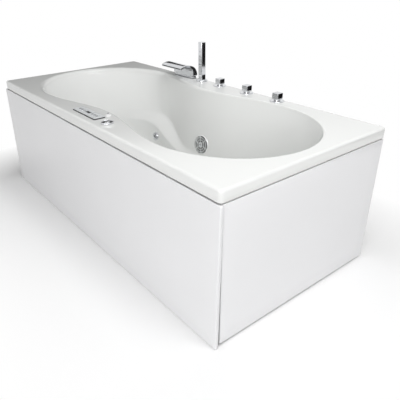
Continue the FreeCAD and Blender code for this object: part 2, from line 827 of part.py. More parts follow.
def pumpImpeller():
    shaftStart = f"({motorFace} - size.motorLength + 3 * size.housingWall)"
    hubEnd = f"(-size.impellerWidth / 2 + size.impellerWidth)"
    shaft = rod("size.shaftRadius", f"{hubEnd} - {shaftStart} + 8",
                (pumpX, shaftStart, shaftZ), "+Y")
    rotor = rod("size.motorRadius * 0.6", "size.motorLength * 0.5",
                (pumpX, f"{motorFace} - size.motorLength * 0.75", shaftZ), "+Y")
    plate = rod("size.impellerRadius", "4", (pumpX, "-size.impellerWidth / 2", shaftZ), "+Y")
    hub = rod("size.shaftRadius * 2", "size.impellerWidth",
              (pumpX, "-size.impellerWidth / 2", shaftZ), "+Y")
    vanes = []
    middle = Vector(value(pumpX), 0, value(shaftZ))
    for i in range(6):
        vanes.append(box(("size.shaftRadius", "-size.impellerWidth / 2", "-1.5"),
                         ("size.impellerRadius - size.shaftRadius - 1", "size.impellerWidth", "3"),
                         Placement(middle, Rotation(Vector(0, 1, 0), 60 * i))))
    return fuse(shaft, rotor, plate, hub, *vanes)


keep("pump_motor", pumpMotor())
keep("pump_volute", pumpVolute())
keep("pump_impeller", pumpImpeller())
keep("pump_plate", box((railStart, f"{motorFace} - size.motorLength", railTop),
                       ("size.pumpRailSpacing + size.railSize",
                        f"size.motorLength + size.voluteWidth + 2 * size.housingWall",
                        "size.bracketPlate")))


# ------------------------------------------------------------------ wall fittings
def jetRing(frame):
    flange = rod("size.jetFlangeRadius", "size.jetFlange - 1", (0, 0, 0), frame=frame)
    crown = cone("size.jetFlangeRadius", "size.jetFlangeRadius - 2", 1,
                 (0, 0, "size.jetFlange - 1"), frame=frame)
    sleeve = rod("size.jetHole - size.deckFit", "14", (0, 0, "-14"), frame=frame)
    seat = ball("size.ballRadius + size.ballFit", (0, 0, "-4"), frame=frame)
    return cut(fuse(flange, crown, sleeve), seat)


def jetNozzle(frame):
    core = ball("size.ballRadius", (0, 0, "-4"), frame=frame)
    snout = rod("size.nozzleRadius", "size.ballRadius + 3", (0, 0, "-4"), frame=frame)
    bore = rod("size.nozzleBore", "4 * size.ballRadius", (0, 0, "-4 - 2 * size.ballRadius"),
               frame=frame)
    return cut(fuse(core, snout), bore)


def jetBody(frame):
    r = "size.jetBodyRadius"
    back = "(-size.padDepth)"
    flange = rod(f"{r} + 5", "4", (0, 0, f"{back} - 4"), frame=frame)
    barrel = rod(r, "size.jetBodyDepth", (0, 0, f"{back} - size.jetBodyDepth"), frame=frame)
    tail = rod("size.waterPipeRadius - 3", "size.jetTail",
               (0, 0, f"{back} - size.jetBodyDepth - size.jetTail"), frame=frame)
    airZ = f"{back} - size.jetBodyDepth + size.airPortRise"
    airPort = rod("size.airPipeRadius", f"{r} + size.airPortStub", (0, 0, airZ), "+Y", frame)
    socket = rod("size.jetHole", "10", (0, 0, f"{back} - 9"), frame=frame)
    chamber = rod(f"{r} - 7", "size.jetBodyDepth - 12", (0, 0, f"{back} - size.jetBodyDepth + 4"),
                  frame=frame)
    tailBore = rod("size.waterPipeRadius - 3 - size.pipeWall", "size.jetTail + 18",
                   (0, 0, f"{back} - size.jetBodyDepth - size.jetTail - 1"), frame=frame)
    airBore = rod("size.airPipeRadius - size.pipeWall", f"{r} + size.airPortStub + 1", (0, 0, airZ),
                  "+Y", frame)
    return cut(fuse(flange, barrel, tail, airPort), socket, chamber, tailBore, airBore)


jetNames = ["back", "front", "foot_back", "foot_front"]
for name, frame in zip(jetNames, jetFrames):
    keep(f"jet_body_{name}", jetBody(frame))
for name, frame in zip(jetNames, jetFrames):
    keep(f"jet_nozzle_{name}", jetNozzle(frame))
keep("jet_rings", group(*[jetRing(frame) for frame in jetFrames]))


def suctionGrille(frame):
    """Round strainer: three rings of slots crossed by six spokes."""
    r = "size.suctionGrilleRadius"
    disc = rod(r, 4, (0, 0, 0), frame=frame)
    crown = cone(r, f"{r} - 4", 3, (0, 0, 4), frame=frame)
    sleeve = cut(rod("size.suctionHole - size.deckFit", "14", (0, 0, "-14"), frame=frame),
                 rod("size.suctionHole - 3", "16", (0, 0, "-15"), frame=frame))
    slots = []
    for inner, outer in ((0.28, 0.40), (0.50, 0.62), (0.72, 0.84)):
        slots.append(cut(rod(f"{r} * {outer}", 20, (0, 0, "-6"), frame=frame),
                         rod(f"{r} * {inner}", 22, (0, 0, "-7"), frame=frame)))
    spokes = []
    for i in range(3):
        spoke = box(("-size.suctionGrilleRadius", "-2.5", "-8"),
                    ("2 * size.suctionGrilleRadius", 5, 24),
                    frame.multiply(Placement(Vector(), Rotation(Vector(0, 0, 1), 60 * i + 15))))
        spokes.append(spoke)
    openings = cut(fuse(*slots), *spokes)
    screwHole = rod("size.screwRadius + size.deckFit", "30", (0, 0, "-15"), frame=frame)
    return cut(fuse(disc, crown, sleeve), openings, screwHole)


def suctionPortTop(frame):
    """Upright frame in the middle of the suction body, from which its port goes down."""
    behind = value("size.padDepth + size.suctionBodyDepth / 2 + 1")
    return Placement(localVector(frame, 0, 0, -behind), Rotation())


def suctionBody(frame):
    r = "size.suctionBodyRadius"
    back = "(-size.padDepth)"
    deep = "size.suctionBodyDepth"
    flange = rod(f"{r} + 9", "4", (0, 0, f"{back} - 4"), frame=frame)
    barrel = rod(r, deep, (0, 0, f"{back} - {deep}"), frame=frame)
    middle = suctionPortTop(frame)
    port = rod("size.suctionPipeRadius", f"{r} + size.suctionStub", (0, 0, 0), "-Z", middle)
    socket = rod("size.suctionHole", "10", (0, 0, f"{back} - 9"), frame=frame)
    chamber = rod(f"{r} - 7", f"{deep} - 4", (0, 0, f"{back} - {deep} + 4"), frame=frame)
    portBore = rod("size.suctionPipeRadius - size.pipeWall", f"{r} + size.suctionStub + 1", (0, 0, 0),
                   "-Z", middle)
    post = rod("size.screwRadius * 2.4", f"{deep} - 4", (0, 0, f"{back} - {deep} + 2"), frame=frame)
    thread = rod("size.screwRadius + size.deckFit", "40", (0, 0, f"{back} - {deep} + 8"), frame=frame)
    hollow = cut(fuse(flange, barrel, port), socket, chamber, portBore)
    return cut(fuse(hollow, post), thread)


def suctionScrew(frame):
    shank = rod("size.screwRadius", "34", (0, 0, "-27"), frame=frame)
    head = rod("size.screwRadius * 2", "2.5", (0, 0, "7"), frame=frame)
    slot = box(("-size.screwRadius * 2.2", "-0.6", "8.4"), ("size.screwRadius * 4.4", "1.2", "2"),
               frame=frame)
    return cut(fuse(shank, head), slot)


keep("suction_grille", suctionGrille(suctionFrame))
keep("suction_body", suctionBody(suctionFrame))
keep("suction_screw", suctionScrew(suctionFrame))

# ------------------------------------------------------------------ pipes behind the shell
ringY = value(f"{halfWidth} - size.waterRingInset")
ringRight = value(f"{halfLength} - size.waterRingEnd")
tailDepth = value("size.padDepth + size.jetBodyDepth + size.jetTail")
ringZ = value(f"{shaftZ} + {dischargeLift}")
outletX = value(f"{pumpX} + size.voluteRadius + size.outletStub")
ringLeft = outletX + value("size.waterPipeRadius * 2")


def waterManifold():
    """Ring of pipe round the basin, fed by the pump; each jet's branch is a little thinner."""
    radius = value("size.waterPipeRadius")
    bend = radius * 2.5
    corners = [Vector(ringLeft, ringY, ringZ), Vector(ringRight, ringY, ringZ),
               Vector(ringRight, -ringY, ringZ), Vector(ringLeft, -ringY, ringZ)]
    middle = Vector(ringLeft, 0, ringZ)
    routes = [([middle] + corners + [middle], radius, bend),
              ([Vector(outletX, 0, ringZ), middle], radius - 1, bend)]
    for frame in jetFrames[:2]:
        tail = localVector(frame, 0, 0, -tailDepth)
        out = frame.Rotation.multVec(Vector(0, 0, -1))
        routes.append(([tail, tail + out * ((ringY - abs(tail.y)) / abs(out.y))], radius - 3, radius))
    for frame in jetFrames[2:]:
        tail = localVector(frame, 0, 0, -tailDepth)
        knee = localVector(frame, 0, 0, -tailDepth - radius * 1.2)
        routes.append(([tail, knee, Vector(ringRight, knee.y, ringZ)], radius - 3, radius * 1.5))
    return pipework(routes, value("size.pipeWall"))


keep("water_manifold", formed(waterManifold()))


def suctionPipe():
    radius = value("size.suctionPipeRadius")
    reach = value("size.suctionBodyRadius + size.suctionStub")
    port = suctionPortTop(suctionFrame).Base - Vector(0, 0, reach)
    runZ = value(shaftZ)
    runY = value(f"{halfWidth} - size.suctionRunInset")
    inletY = value("size.voluteWidth / 2 + size.inletStub")
    points = [port, Vector(port.x, port.y, runZ), Vector(port.x - 3 * abs(runY - port.y), runY, runZ),
              Vector(value(pumpX), runY, runZ), Vector(value(pumpX), inletY, runZ)]
    return pipework([(points, radius, radius * 1.8)], value("size.pipeWall"))


keep("suction_pipe", formed(suctionPipe()))

airY = value(f"{halfWidth} - size.knobInset - 15")
airZ = ringZ + value("size.waterPipeRadius + size.airPipeRadius * 6")


def airPipe():
    """U of small pipe from the air control to the air port of each jet."""
    radius = value("size.airPipeRadius")
    bend = radius * 1.8
    portDepth = value("size.padDepth + size.jetBodyDepth - size.airPortRise")
    portReach = value("size.jetBodyRadius + size.airPortStub")
    ends = [localVector(frame, 0, portReach, -portDepth) for frame in jetFrames]
    ups = [frame.Rotation.multVec(Vector(0, 1, 0)) for frame in jetFrames]
    knees = [end + up * ((airZ - end.z) / up.z) for end, up in zip(ends, ups)]
    loop = [ends[0], knees[0], Vector(knees[0].x, airY, airZ), Vector(ringRight, airY, airZ),
            Vector(ringRight, -airY, airZ), Vector(knees[1].x, -airY, airZ), knees[1], ends[1]]
    routes = [(loop, radius, bend)]
    for end, knee in zip(ends[2:], knees[2:]):
        routes.append(([end, knee, Vector(ringRight, knee.y, airZ)], radius - 1, bend))
    knobX = value("size.knobStation")
    knobY = -value(f"{halfWidth} - size.knobInset")
    top = Vector(knobX, knobY, value(f"{deckUnder} - size.airSpigotDrop"))
    routes.append(([top, Vector(knobX, knobY, (top.z + airZ) / 2),
                    Vector(knobX, -airY, airZ)], radius - 1, bend))
    return pipework(routes, value("size.pipeWall"))


keep("air_pipe", formed(airPipe()))


# ------------------------------------------------------------------ air control on the deck
knobSpot = ("size.knobStation", f"-({halfWidth} - size.knobInset)")


def airControlBody():
    x, y = knobSpot
    shank = rod("size.shankRadius", "size.rimPlate + 40", (x, y, f"{deckUnder} - 40"))
    spigot = rod("size.airPipeRadius", "20", (x, y, f"{deckUnder} - size.airSpigotDrop"))
    plate = rod("size.knobRadius - 2", "1.5", (x, y, deckTop))
    bore = rod("size.airPipeRadius - size.pipeWall", "size.rimPlate + size.airSpigotDrop + 20",
               (x, y, f"{deckUnder} - size.airSpigotDrop - 1"))
    seat = rod("size.spindleRadius + size.slideFit", "12", (x, y, f"{deckTop} - 6"))
    return cut(fuse(shank, spigot, plate), bore, seat)


def airControlKnob():
    x, y = knobSpot
    base = f"({deckTop} + 1.6)"
    body = rod("size.knobRadius", "size.knobHeight - 2", (x, y, base))
    crown = cone("size.knobRadius", "size.knobRadius - 2", "2",
                 (x, y, f"{base} + size.knobHeight - 2"))
    stem = rod("size.spindleRadius", "7", (x, y, f"{base} - 7"))
    dish = rod("size.knobRadius - 6", "2", (x, y, f"{base} + size.knobHeight - 1.5"))
    grip = box((f"{x} - size.knobRadius + 7", f"{y} - 3", f"{base} + size.knobHeight - 2"),
               ("2 * size.knobRadius - 14", "6", "3"))
    return fuse(cut(fuse(body, crown, stem), dish), grip)


keep("air_control_body", airControlBody())
keep("air_control_knob", airControlKnob())

# ------------------------------------------------------------------ control panel and keys
panelX = "(-size.panelStation)"
panelY = f"(-{halfWidth} + size.panelInset)"
keyOffsets = [-4.2, -3.1, -2.0, 2.0, 3.1, 4.2]


def controlPanel():
    slab = box((f"{panelX} - size.panelLength / 2", f"{panelY} - size.panelDepth / 2", deckTop),
               ("size.panelLength", "size.panelDepth", "size.panelHeight"))
    tray = box((f"{panelX} - size.panelLength / 2 + size.trayInset",
                f"{panelY} - size.panelDepth / 2 + size.trayInset", f"{deckTop} - 24"),
               ("size.panelLength - 2 * size.trayInset", "size.panelDepth - 2 * size.trayInset", "25"))
    slab = rounded(slab, 3, upright)
    inner = "(size.trayInset + 2.6)"
    hollow = box((f"{panelX} - size.panelLength / 2 + {inner}",
                  f"{panelY} - size.panelDepth / 2 + {inner}", f"{deckTop} - 21"),
                 (f"size.panelLength - 2 * {inner}", f"size.panelDepth - 2 * {inner}", "23"))
    window = box((f"{panelX} - size.windowLength / 2 - size.slideFit",
                  f"{panelY} - size.windowDepth / 2 - size.slideFit",
                  f"{deckTop} + size.panelHeight - 2"),
                 ("size.windowLength + 2 * size.slideFit", "size.windowDepth + 2 * size.slideFit", "4"))
    wells = [rod("size.keyRadius + size.slideFit", "size.panelHeight + 4",
                 (f"{panelX} + {k} * size.keyPitch", panelY, f"{deckTop} - 1")) for k in keyOffsets]
    return cut(fuse(slab, tray), hollow, window, *wells)


def panelKey(k):
    x = f"{panelX} + {k} * size.keyPitch"
    cap = rod("size.keyRadius", "size.panelHeight - 2.2 + size.keyTravel",
              (x, panelY, f"{deckTop} + 3"))
    skirt = rod("size.keyRadius + 1.2", "1", (x, panelY, f"{deckTop} + 0.99"))
    stem = rod("size.keyRadius - 1.5", "2.2", (x, panelY, f"{deckTop} + 0.99"))
    return fuse(cap, skirt, stem)


keep("control_panel", controlPanel())
keep("display_window", box((f"{panelX} - size.windowLength / 2", f"{panelY} - size.windowDepth / 2",
                            f"{deckTop} + size.panelHeight - 2"),
                           ("size.windowLength", "size.windowDepth", "2.2")))
for number, k in enumerate(keyOffsets, 1):
    keep(f"panel_key_{number}", panelKey(k))

# ------------------------------------------------------------------ light button
lightSpot = ("size.lightStation", f"-({halfWidth} - size.lightInset)")


def lightButtonRing():
    x, y = lightSpot
    flange = rod("size.lightRadius", "3", (x, y, deckTop))
    barrel = rod("size.lightButtonRadius + 1.5", "size.rimPlate + 24", (x, y, f"{deckUnder} - 24"))
    bore = rod("size.lightButtonRadius + size.slideFit", "size.rimPlate + 24",
               (x, y, f"{deckUnder} - 18"))
    return cut(fuse(flange, barrel), bore)


def lightButton():
    x, y = lightSpot
    cap = rod("size.lightButtonRadius", "22", (x, y, f"{deckTop} - 14"))
    dome = cone("size.lightButtonRadius", "size.lightButtonRadius - 2", "2", (x, y, f"{deckTop} + 8"))
    return fuse(cap, dome)


keep("light_button_ring", lightButtonRing())
keep("light_button", lightButton())


# ------------------------------------------------------------------ taps
def tapRose(i):
    x = f"(-size.firstTap + {i} * size.tapSpacing)"
    disc = rod("size.roseRadius", "size.roseHeight - 1", (x, tapLine, deckTop))
    crown = cone("size.roseRadius", "size.roseRadius - 1", "1",
                 (x, tapLine, f"{deckTop} + size.roseHeight - 1"))
    return cut(fuse(disc, crown), rod("size.shankRadius + size.deckFit", "10",
                                      (x, tapLine, f"{deckTop} - 1")))


def tapValve(i):
    """Valve below the deck, with ports to its neighbours and a tail towards the wall."""
    x = f"(-size.firstTap + {i} * size.tapSpacing)"
    low = f"({deckUnder} - size.valveDrop)"
    shank = rod("size.shankRadius", f"size.rimPlate + size.roseHeight + size.valveDrop",
                (x, tapLine, low))
    chest = rod("size.chestRadius", "34", (x, tapLine, f"{low} - 12"))
    portZ = f"{low} + size.valvePortRise"
    shoulder = "size.chestRadius + size.supplyCollar"
    collar = rod("size.supplyCollarRadius", shoulder, (x, tapLine, portZ), "+Y")
    tail = rod("size.supplyTailRadius", f"{shoulder} + size.supplyTailLength", (x, tapLine, portZ), "+Y")
    across = "size.shankRadius + size.valvePortStub"
    sidePorts = rod("size.airPipeRadius + 4", f"2 * ({across})", (f"{x} - ({across})", tapLine, portZ),
                    "+X")
    sideBore = rod("size.airPipeRadius - 2", f"2 * ({across}) + 2",
                   (f"{x} - ({across}) - 1", tapLine, portZ), "+X")
    tailBore = rod("size.supplyTailRadius - 3.5", f"{shoulder} + size.supplyTailLength + 1",
                   (x, tapLine, portZ), "+Y")
    spindleBore = rod("size.spindleRadius + size.slideFit", "size.valveDrop",
                      (x, tapLine, f"{deckTop} + size.roseHeight - size.valveDrop * 0.6"))
    return cut(fuse(shank, chest, collar, tail, sidePorts), sideBore, tailBore, spindleBore)


def tapKnob(i):
    x = f"(-size.firstTap + {i} * size.tapSpacing)"
    base = f"({deckTop} + size.roseHeight + 0.3)"
    neck = rod("size.tapNeckRadius", "size.tapNeckHeight + 2", (x, tapLine, base))
    block = box((f"{x} - size.tapCube / 2", f"{tapLine} - size.tapCube / 2",
                 f"{base} + size.tapNeckHeight"),
                ("size.tapCube", "size.tapCube", "size.tapCubeHeight"))
    block = rounded(block, 2, lambda edge: True)
    spindle = rod("size.spindleRadius", "size.valveDrop * 0.5",
                  (x, tapLine, f"{base} - size.valveDrop * 0.5"))
    return fuse(neck, block, spindle)


keep("tap_roses", group(*[tapRose(i) for i in range(3)]))
keep("tap_valves", group(*[tapValve(i) for i in range(3)]))
for i, name in enumerate(("diverter", "hot", "cold")):
    keep(f"tap_knob_{name}", tapKnob(i))

# ------------------------------------------------------------------ hand shower and its socket
showerX = "(-size.showerStation)"


def showerSocket():
    base = rod("size.showerBaseRadius", "6", (showerX, tapLine, deckTop))
    crown = cone("size.showerBaseRadius", "size.showerBaseRadius - 2", "2",
                 (showerX, tapLine, f"{deckTop} + 6"))
    block = box((f"{showerX} - size.showerSquare / 2", f"{tapLine} - size.showerSquare / 2",
                 f"{deckTop} + 6"),
                ("size.showerSquare", "size.showerSquare", "size.showerSocketHeight - 6"))
    block = rounded(block, 2, upright)
    guide = rod("size.shankRadius + 3", "size.rimPlate + 46", (showerX, tapLine, f"{deckUnder} - 46"))
    bore = rod("size.showerTailRadius + size.slideFit", "size.showerTailLength + 60",
               (showerX, tapLine, f"{deckUnder} - 60"))
    return cut(fuse(base, crown, block, guide), bore)


def handShower():
    base = f"({deckTop} + size.showerSocketHeight)"
    stick = box((f"{showerX} - size.showerSquare / 2", f"{tapLine} - size.showerSquare / 2", base),
                ("size.showerSquare", "size.showerSquare",
                 "size.showerHeight - size.showerSocketHeight"))
    stick = rounded(stick, 2, lambda edge: True)
    tail = rod("size.showerTailRadius", "size.showerTailLength + 4",
               (showerX, tapLine, f"{base} - size.showerTailLength"))
    barb = rod("size.showerTailRadius - 3", "14",
               (showerX, tapLine, f"{base} - size.showerTailLength - 14"))
    waterway = rod("3", "size.showerTailLength + 40",
                   (showerX, tapLine, f"{base} - size.showerTailLength - 15"))
    holes = []
    for row in range(5):
        for column in (-1, 0, 1):
            holes.append(rod("1.2", "4", (f"{showerX} + {column} * 6",
                                          f"{tapLine} - size.showerSquare / 2 - 1",
                                          f"{deckTop} + size.showerHeight - 14 - {row} * 7"), "+Y"))
    return cut(fuse(stick, tail, barb), waterway, *holes)


keep("shower_socket", showerSocket())
keep("hand_shower", handShower())

# ------------------------------------------------------------------ waterfall spout
spoutX = "(-size.spoutStation)"


def spoutProfile(width, inset):
    """Side view of the arched blade, drawn in from its skin by the inset."""
    top = rimZ + value("size.spoutHeight") - inset
    back = value(f"{halfWidth} - size.spoutBackGap") - inset
    tip = back + inset - value("size.spoutReach")
    front = back + inset - value("size.spoutBaseDepth") + 1 + inset
    lip = value("size.spoutLip")
    tipTop = rimZ + value("size.spoutHeight") - lip - inset * 0.8
    tipLow = rimZ + value("size.spoutHeight") - 2 * lip + inset * 0.8
    foot = rimZ + 14 + inset
    crest = tip + value("size.spoutReach") * 0.36
    under = top - lip + 2 * inset

    def at(y, z):
        return Vector(0, y, z)

    skin = [
        Part.Arc(at(back, foot), at(back - 13, (foot + top) / 2 + 9), at(crest + 22, top - 3)),
        Part.Arc(at(crest + 22, top - 3), at(crest, top), at(tip, tipTop)),
        Part.LineSegment(at(tip, tipTop), at(tip, tipLow)),
        Part.Arc(at(tip, tipLow), at(tip + 32, under - 1), at(front - 8, under - 12)),
        Part.Arc(at(front - 8, under - 12), at(front - 2, under - 22), at(front, under - 34)),
        Part.LineSegment(at(front, under - 34), at(front, foot)),
        Part.LineSegment(at(front, foot), at(back, foot)),
    ]
    face = Part.Face(Part.Wire([edge.toShape() for edge in skin]))
    face.translate(Vector(value(spoutX) - width / 2, 0, 0))
    return face.extrude(Vector(width, 0, 0))


def waterfallSpout():
    width = value("size.spoutWidth")
    blade = spoutProfile(width, 0)
    baseWidth = value("size.spoutBaseWidth")
    baseDepth = value("size.spoutBaseDepth")
    back = value(f"{halfWidth} - size.spoutBackGap")
    base = Part.makeBox(baseWidth, baseDepth - 2, 16,
                        Vector(value(spoutX) - baseWidth / 2, back - baseDepth + 1,
                               rimZ + value("size.gasketThickness")))
    channel = spoutProfile(width - 10, 2.5)
    mouth = Part.makeBox(width - 10, 20, 3.2,
                         Vector(value(spoutX) - width / 2 + 5,
                                back - value("size.spoutReach") - 5,
                                rimZ + value("size.spoutHeight - 1.5 * size.spoutLip") - 1.6))
    shankY = value(f"{halfWidth} - size.spoutBaseDepth")
    radius = value("size.shankRadius - 3")
    foot = Vector(value(spoutX), shankY, value(deckUnder) - 40)
    shank = Part.makeCylinder(radius, value("size.rimPlate") + 44, foot)
    feed = Part.makeCylinder(radius - 3, value("size.rimPlate") + 66, foot)
    return blade.fuse([base, shank]).cut([channel, mouth, feed]).removeSplitter()


keep("waterfall_spout", formed(waterfallSpout()))


def spoutGasket():
    plate = box((f"{spoutX} - size.spoutBaseWidth / 2 - 1",
                 f"{halfWidth} - size.spoutBackGap - size.spoutBaseDepth", deckTop),
                ("size.spoutBaseWidth + 2", "size.spoutBaseDepth", "size.gasketThickness"))
    return cut(plate, rod("size.shankRadius - 3 + size.deckFit", "4",
                          (spoutX, f"{halfWidth} - size.spoutBaseDepth", f"{deckTop} - 1")))


keep("spout_gasket", spoutGasket())


# ------------------------------------------------------------------ pipes and nuts under the deck
def mixerPipework():
    z = value(f"{deckUnder} - size.valveDrop + size.valvePortRise")
    y = value(tapLine)
    radius = value("size.airPipeRadius")
    side = value("size.shankRadius + size.valvePortStub")
    pieces = []
    for i in (0, 1):
        start = Vector(tapX(i) + side, y, z)
        end = Vector(tapX(i + 1) - side, y, z)
        pieces.append(pipework([([start, end], radius, radius)], 2))
    spout = value(spoutX)
    shankY = value(f"{halfWidth} - size.spoutBaseDepth")
    around = y - value("size.shankRadius + 3 + size.airPipeRadius + 10")
    start = Vector(tapX(0) - side, y, z)
    points = [start, start + Vector(-30, 0, 0), Vector(start.x - 60, around, z),
              Vector(spout, around, z), Vector(spout, shankY, z),
              Vector(spout, shankY, value(f"{deckUnder} - 40"))]
    pieces.append(pipework([(points, radius, radius * 2)], 2))
    return Part.makeCompound(pieces)


keep("mixer_pipework", formed(mixerPipework()))


def deckNuts():
    height = "size.nutHeight"
    low = f"({deckUnder} - size.nutHeight)"
    made = [nut(f"(-size.firstTap + {i} * size.tapSpacing)", tapLine, low, "size.shankRadius", height)
            for i in range(3)]
    made.append(nut(showerX, tapLine, low, "(size.shankRadius + 3)", height))
    made.append(nut(spoutX, f"({halfWidth} - size.spoutBaseDepth)", low,
                    "(size.shankRadius - 3)", height))
    made.append(nut(*knobSpot, low, "size.shankRadius", height))
    made.append(nut(*lightSpot, low, "(size.lightButtonRadius + 1.5)", height))
    return group(*made)


keep("deck_nuts", deckNuts())

# ------------------------------------------------------------------ waste and overflow
wasteX = f"({halfLength} - size.wasteInset)"


def wasteFlange():
    """Ring in the floor with a cross that guides the plug's stem, and its threaded sleeve."""
    rim = rod("size.wasteRadius", "2.5", (wasteX, 0, basinFloor))
    sleeve = rod("size.wasteBore + 3 - size.deckFit", "size.shellWall + 16",
                 (wasteX, 0, f"{basinFloor} - size.shellWall - 16"))
    bore = rod("size.wasteBore", "60", (wasteX, 0, f"{basinFloor} - 40"))
    guideZ = f"{basinFloor} - 16"
    crossX = box((f"{wasteX} - size.wasteBore - 1", "-1.5", guideZ), ("2 * size.wasteBore + 2", "3", "6"))
    crossY = box((f"{wasteX} - 1.5", "-size.wasteBore - 1", guideZ), ("3", "2 * size.wasteBore + 2", "6"))
    hub = rod("8", "6", (wasteX, 0, guideZ))
    ring = cut(fuse(rim, sleeve), bore)
    return cut(fuse(ring, crossX, crossY, hub), rod("4 + size.slideFit", "20",
                                                    (wasteX, 0, f"{guideZ} - 5")))


def wastePlug():
    cap = rod("size.plugRadius", "3", (wasteX, 0, f"{basinFloor} + 2.8"))
    dome = cone("size.plugRadius", "size.plugRadius - 4", "2", (wasteX, 0, f"{basinFloor} + 5.8"))
    stem = rod("4", "40", (wasteX, 0, f"{basinFloor} - 36"))
    return fuse(cap, dome, stem)


wasteBranchZ = f"({basinFloor} - size.wasteBranchDrop)"


def wasteTrap():
    """Waste body below the floor, with the overflow branch and a low trap whose outlet rises."""
    radius = "(size.wasteBore + size.wasteBodyWall)"
    base = f"({shellUnder} - size.wasteBodyDepth)"
    body = rod(radius, "size.wasteBodyDepth", (wasteX, 0, base))
    branch = rod("size.wastePipeRadius + size.pipeWall", f"{radius} + size.wasteBranchStub",
                 (wasteX, 0, wasteBranchZ), "+X")
    bore = rod("size.wasteBore + 3", "size.wasteBodyDepth - 4", (wasteX, 0, f"{base} + 5"))
    branchBore = rod("size.wastePipeRadius", f"{radius} + size.wasteBranchStub + 1",
                     (wasteX, 0, wasteBranchZ), "+X")
    down = rod("size.trapPipeRadius - size.pipeWall", "20", (wasteX, 0, f"{base} - 8"))
    chamber = cut(fuse(body, branch), bore, branchBore, down)
    pipeRadius = value("size.trapPipeRadius")
    x = value(wasteX)
    low = pipeRadius + 2
    bend = pipeRadius * 1.15
    rise = value("size.trapRise")
    reach = value("size.trapReach")
    points = [Vector(x, 0, value(base)), Vector(x, 0, low), Vector(x, reach, low),
              Vector(x, reach + rise, low + rise),
              Vector(x, value("size.outletReach"), low + rise)]
    return fuse(chamber, formed(pipework([(points, pipeRadius, bend)], value("size.pipeWall"))))


def overflowPipe():
    """Overflow elbow behind the foot end and its pipe down to the waste, moulded in one."""
    frame = overflowFrame
    r = "(size.wasteBore + size.wasteBodyWall)"
    back = "(-size.padDepth)"
    deep = "size.overflowDepth"
    middle = f"({back} - {deep} / 2)"
    barrel = rod(r, deep, (0, 0, f"{back} - {deep}"), frame=frame)
    port = rod("size.wastePipeRadius + size.pipeWall", f"{r} + 10", (0, 0, middle), "-Y", frame)
    chamber = rod(f"{r} - 4", f"{deep} - 8", (0, 0, f"{back} - {deep} + 4"), frame=frame)
    throat = rod("size.wasteBore", "14", (0, 0, f"{back} - 6"), frame=frame)
    portBore = rod("size.wastePipeRadius", f"{r} + 11", (0, 0, middle), "-Y", frame)
    elbow = cut(fuse(barrel, port), chamber, throat, portBore)
    radius = value("size.wastePipeRadius")
    start = localVector(frame, 0, -value(f"{r} + 10"), value(middle))
    down = frame.Rotation.multVec(Vector(0, -1, 0))
    end = Vector(value(f"{wasteX} + {r} + size.wasteBranchStub"), 0, value(wasteBranchZ))
    knee = start + down * ((start.z - end.z) / -down.z)
    pipeWall = value("size.pipeWall")
    run = pipework([([start, knee, end], radius + pipeWall, radius * 2.4)], pipeWall)
    return fuse(elbow, formed(run))


def overflowKnob():
    frame = overflowFrame
    disc = rod("size.overflowRadius", "5", (0, 0, "12"), frame=frame)
    crown = cone("size.overflowRadius", "size.overflowRadius - 3", "3", (0, 0, "17"), frame=frame)
    stem = rod("size.spindleRadius", "30", (0, 0, "-14"), frame=frame)
    grip = box(("-size.overflowRadius + 6", "-4", "20"), ("2 * size.overflowRadius - 12", "8", "6"),
               frame=frame)
    return fuse(disc, crown, stem, grip)


def overflowFlange():
    frame = overflowFrame
    rim = rod("size.overflowRadius - 3", "2.5", (0, 0, 0), frame=frame)
    sleeve = rod("size.wasteBore - size.deckFit", "size.padDepth + 6",
                 (0, 0, "-size.padDepth - 6"), frame=frame)
    bore = rod("size.wasteBore - 4", "40", (0, 0, "-30"), frame=frame)
    bar = box(("-size.wasteBore + 3", "-3", "-2"), ("2 * size.wasteBore - 6", "6", "4"), frame=frame)
    hub = rod("9", "4", (0, 0, "-2"), frame=frame)
    ring = cut(fuse(rim, sleeve), bore)
    return cut(fuse(ring, bar, hub), rod("size.spindleRadius + size.slideFit", "20",
                                         (0, 0, "-10"), frame=frame))


keep("waste_flange", wasteFlange())
keep("waste_plug", wastePlug())
keep("waste_trap", wasteTrap())
keep("overflow_pipe", overflowPipe())
keep("overflow_flange", overflowFlange())
keep("overflow_knob", overflowKnob())

# ------------------------------------------------------------------ control box
boxX = f"({footStation} / 2 - size.controlBoxLength / 2)"
boxY = f"(-{railLine} + size.railSize / 2)"


def controlBox():
    block = box((boxX, boxY, railTop),
                ("size.controlBoxLength", "size.controlBoxDepth", "size.controlBoxHeight"))
    hollow = box((f"{boxX} + 3", f"{boxY} + 3", f"{railTop} + 3"),
                 ("size.controlBoxLength - 6", "size.controlBoxDepth - 6", "size.controlBoxHeight"))
    return cut(block, hollow)


def controlBoxLid():
    top = f"{railTop} + size.controlBoxHeight"
    return box((boxX, boxY, top), ("size.controlBoxLength", "size.controlBoxDepth", "4"))


keep("control_box", controlBox())
keep("control_box_lid", controlBoxLid())

# ------------------------------------------------------------------ check and write
doc.recompute()
faulty = [o.Name for o in doc.Objects if "Invalid" in o.State or "Error" in o.State]
if faulty:
    raise SystemExit(f"failed objects: {faulty}")
os.makedirs("parts", exist_ok=True)
for thing in nodes:
    shape = thing.Shape
    if shape.isNull() or not shape.isValid() or not shape.Solids:
        raise SystemExit(f"{thing.Label}: no valid solid")
    shape.exportStep(f"parts/{thing.Label}.step")
print(len(nodes), "nodes written")
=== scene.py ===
import json
import math
import bpy
import bmesh
import numpy as np
from mathutils import Matrix, Vector


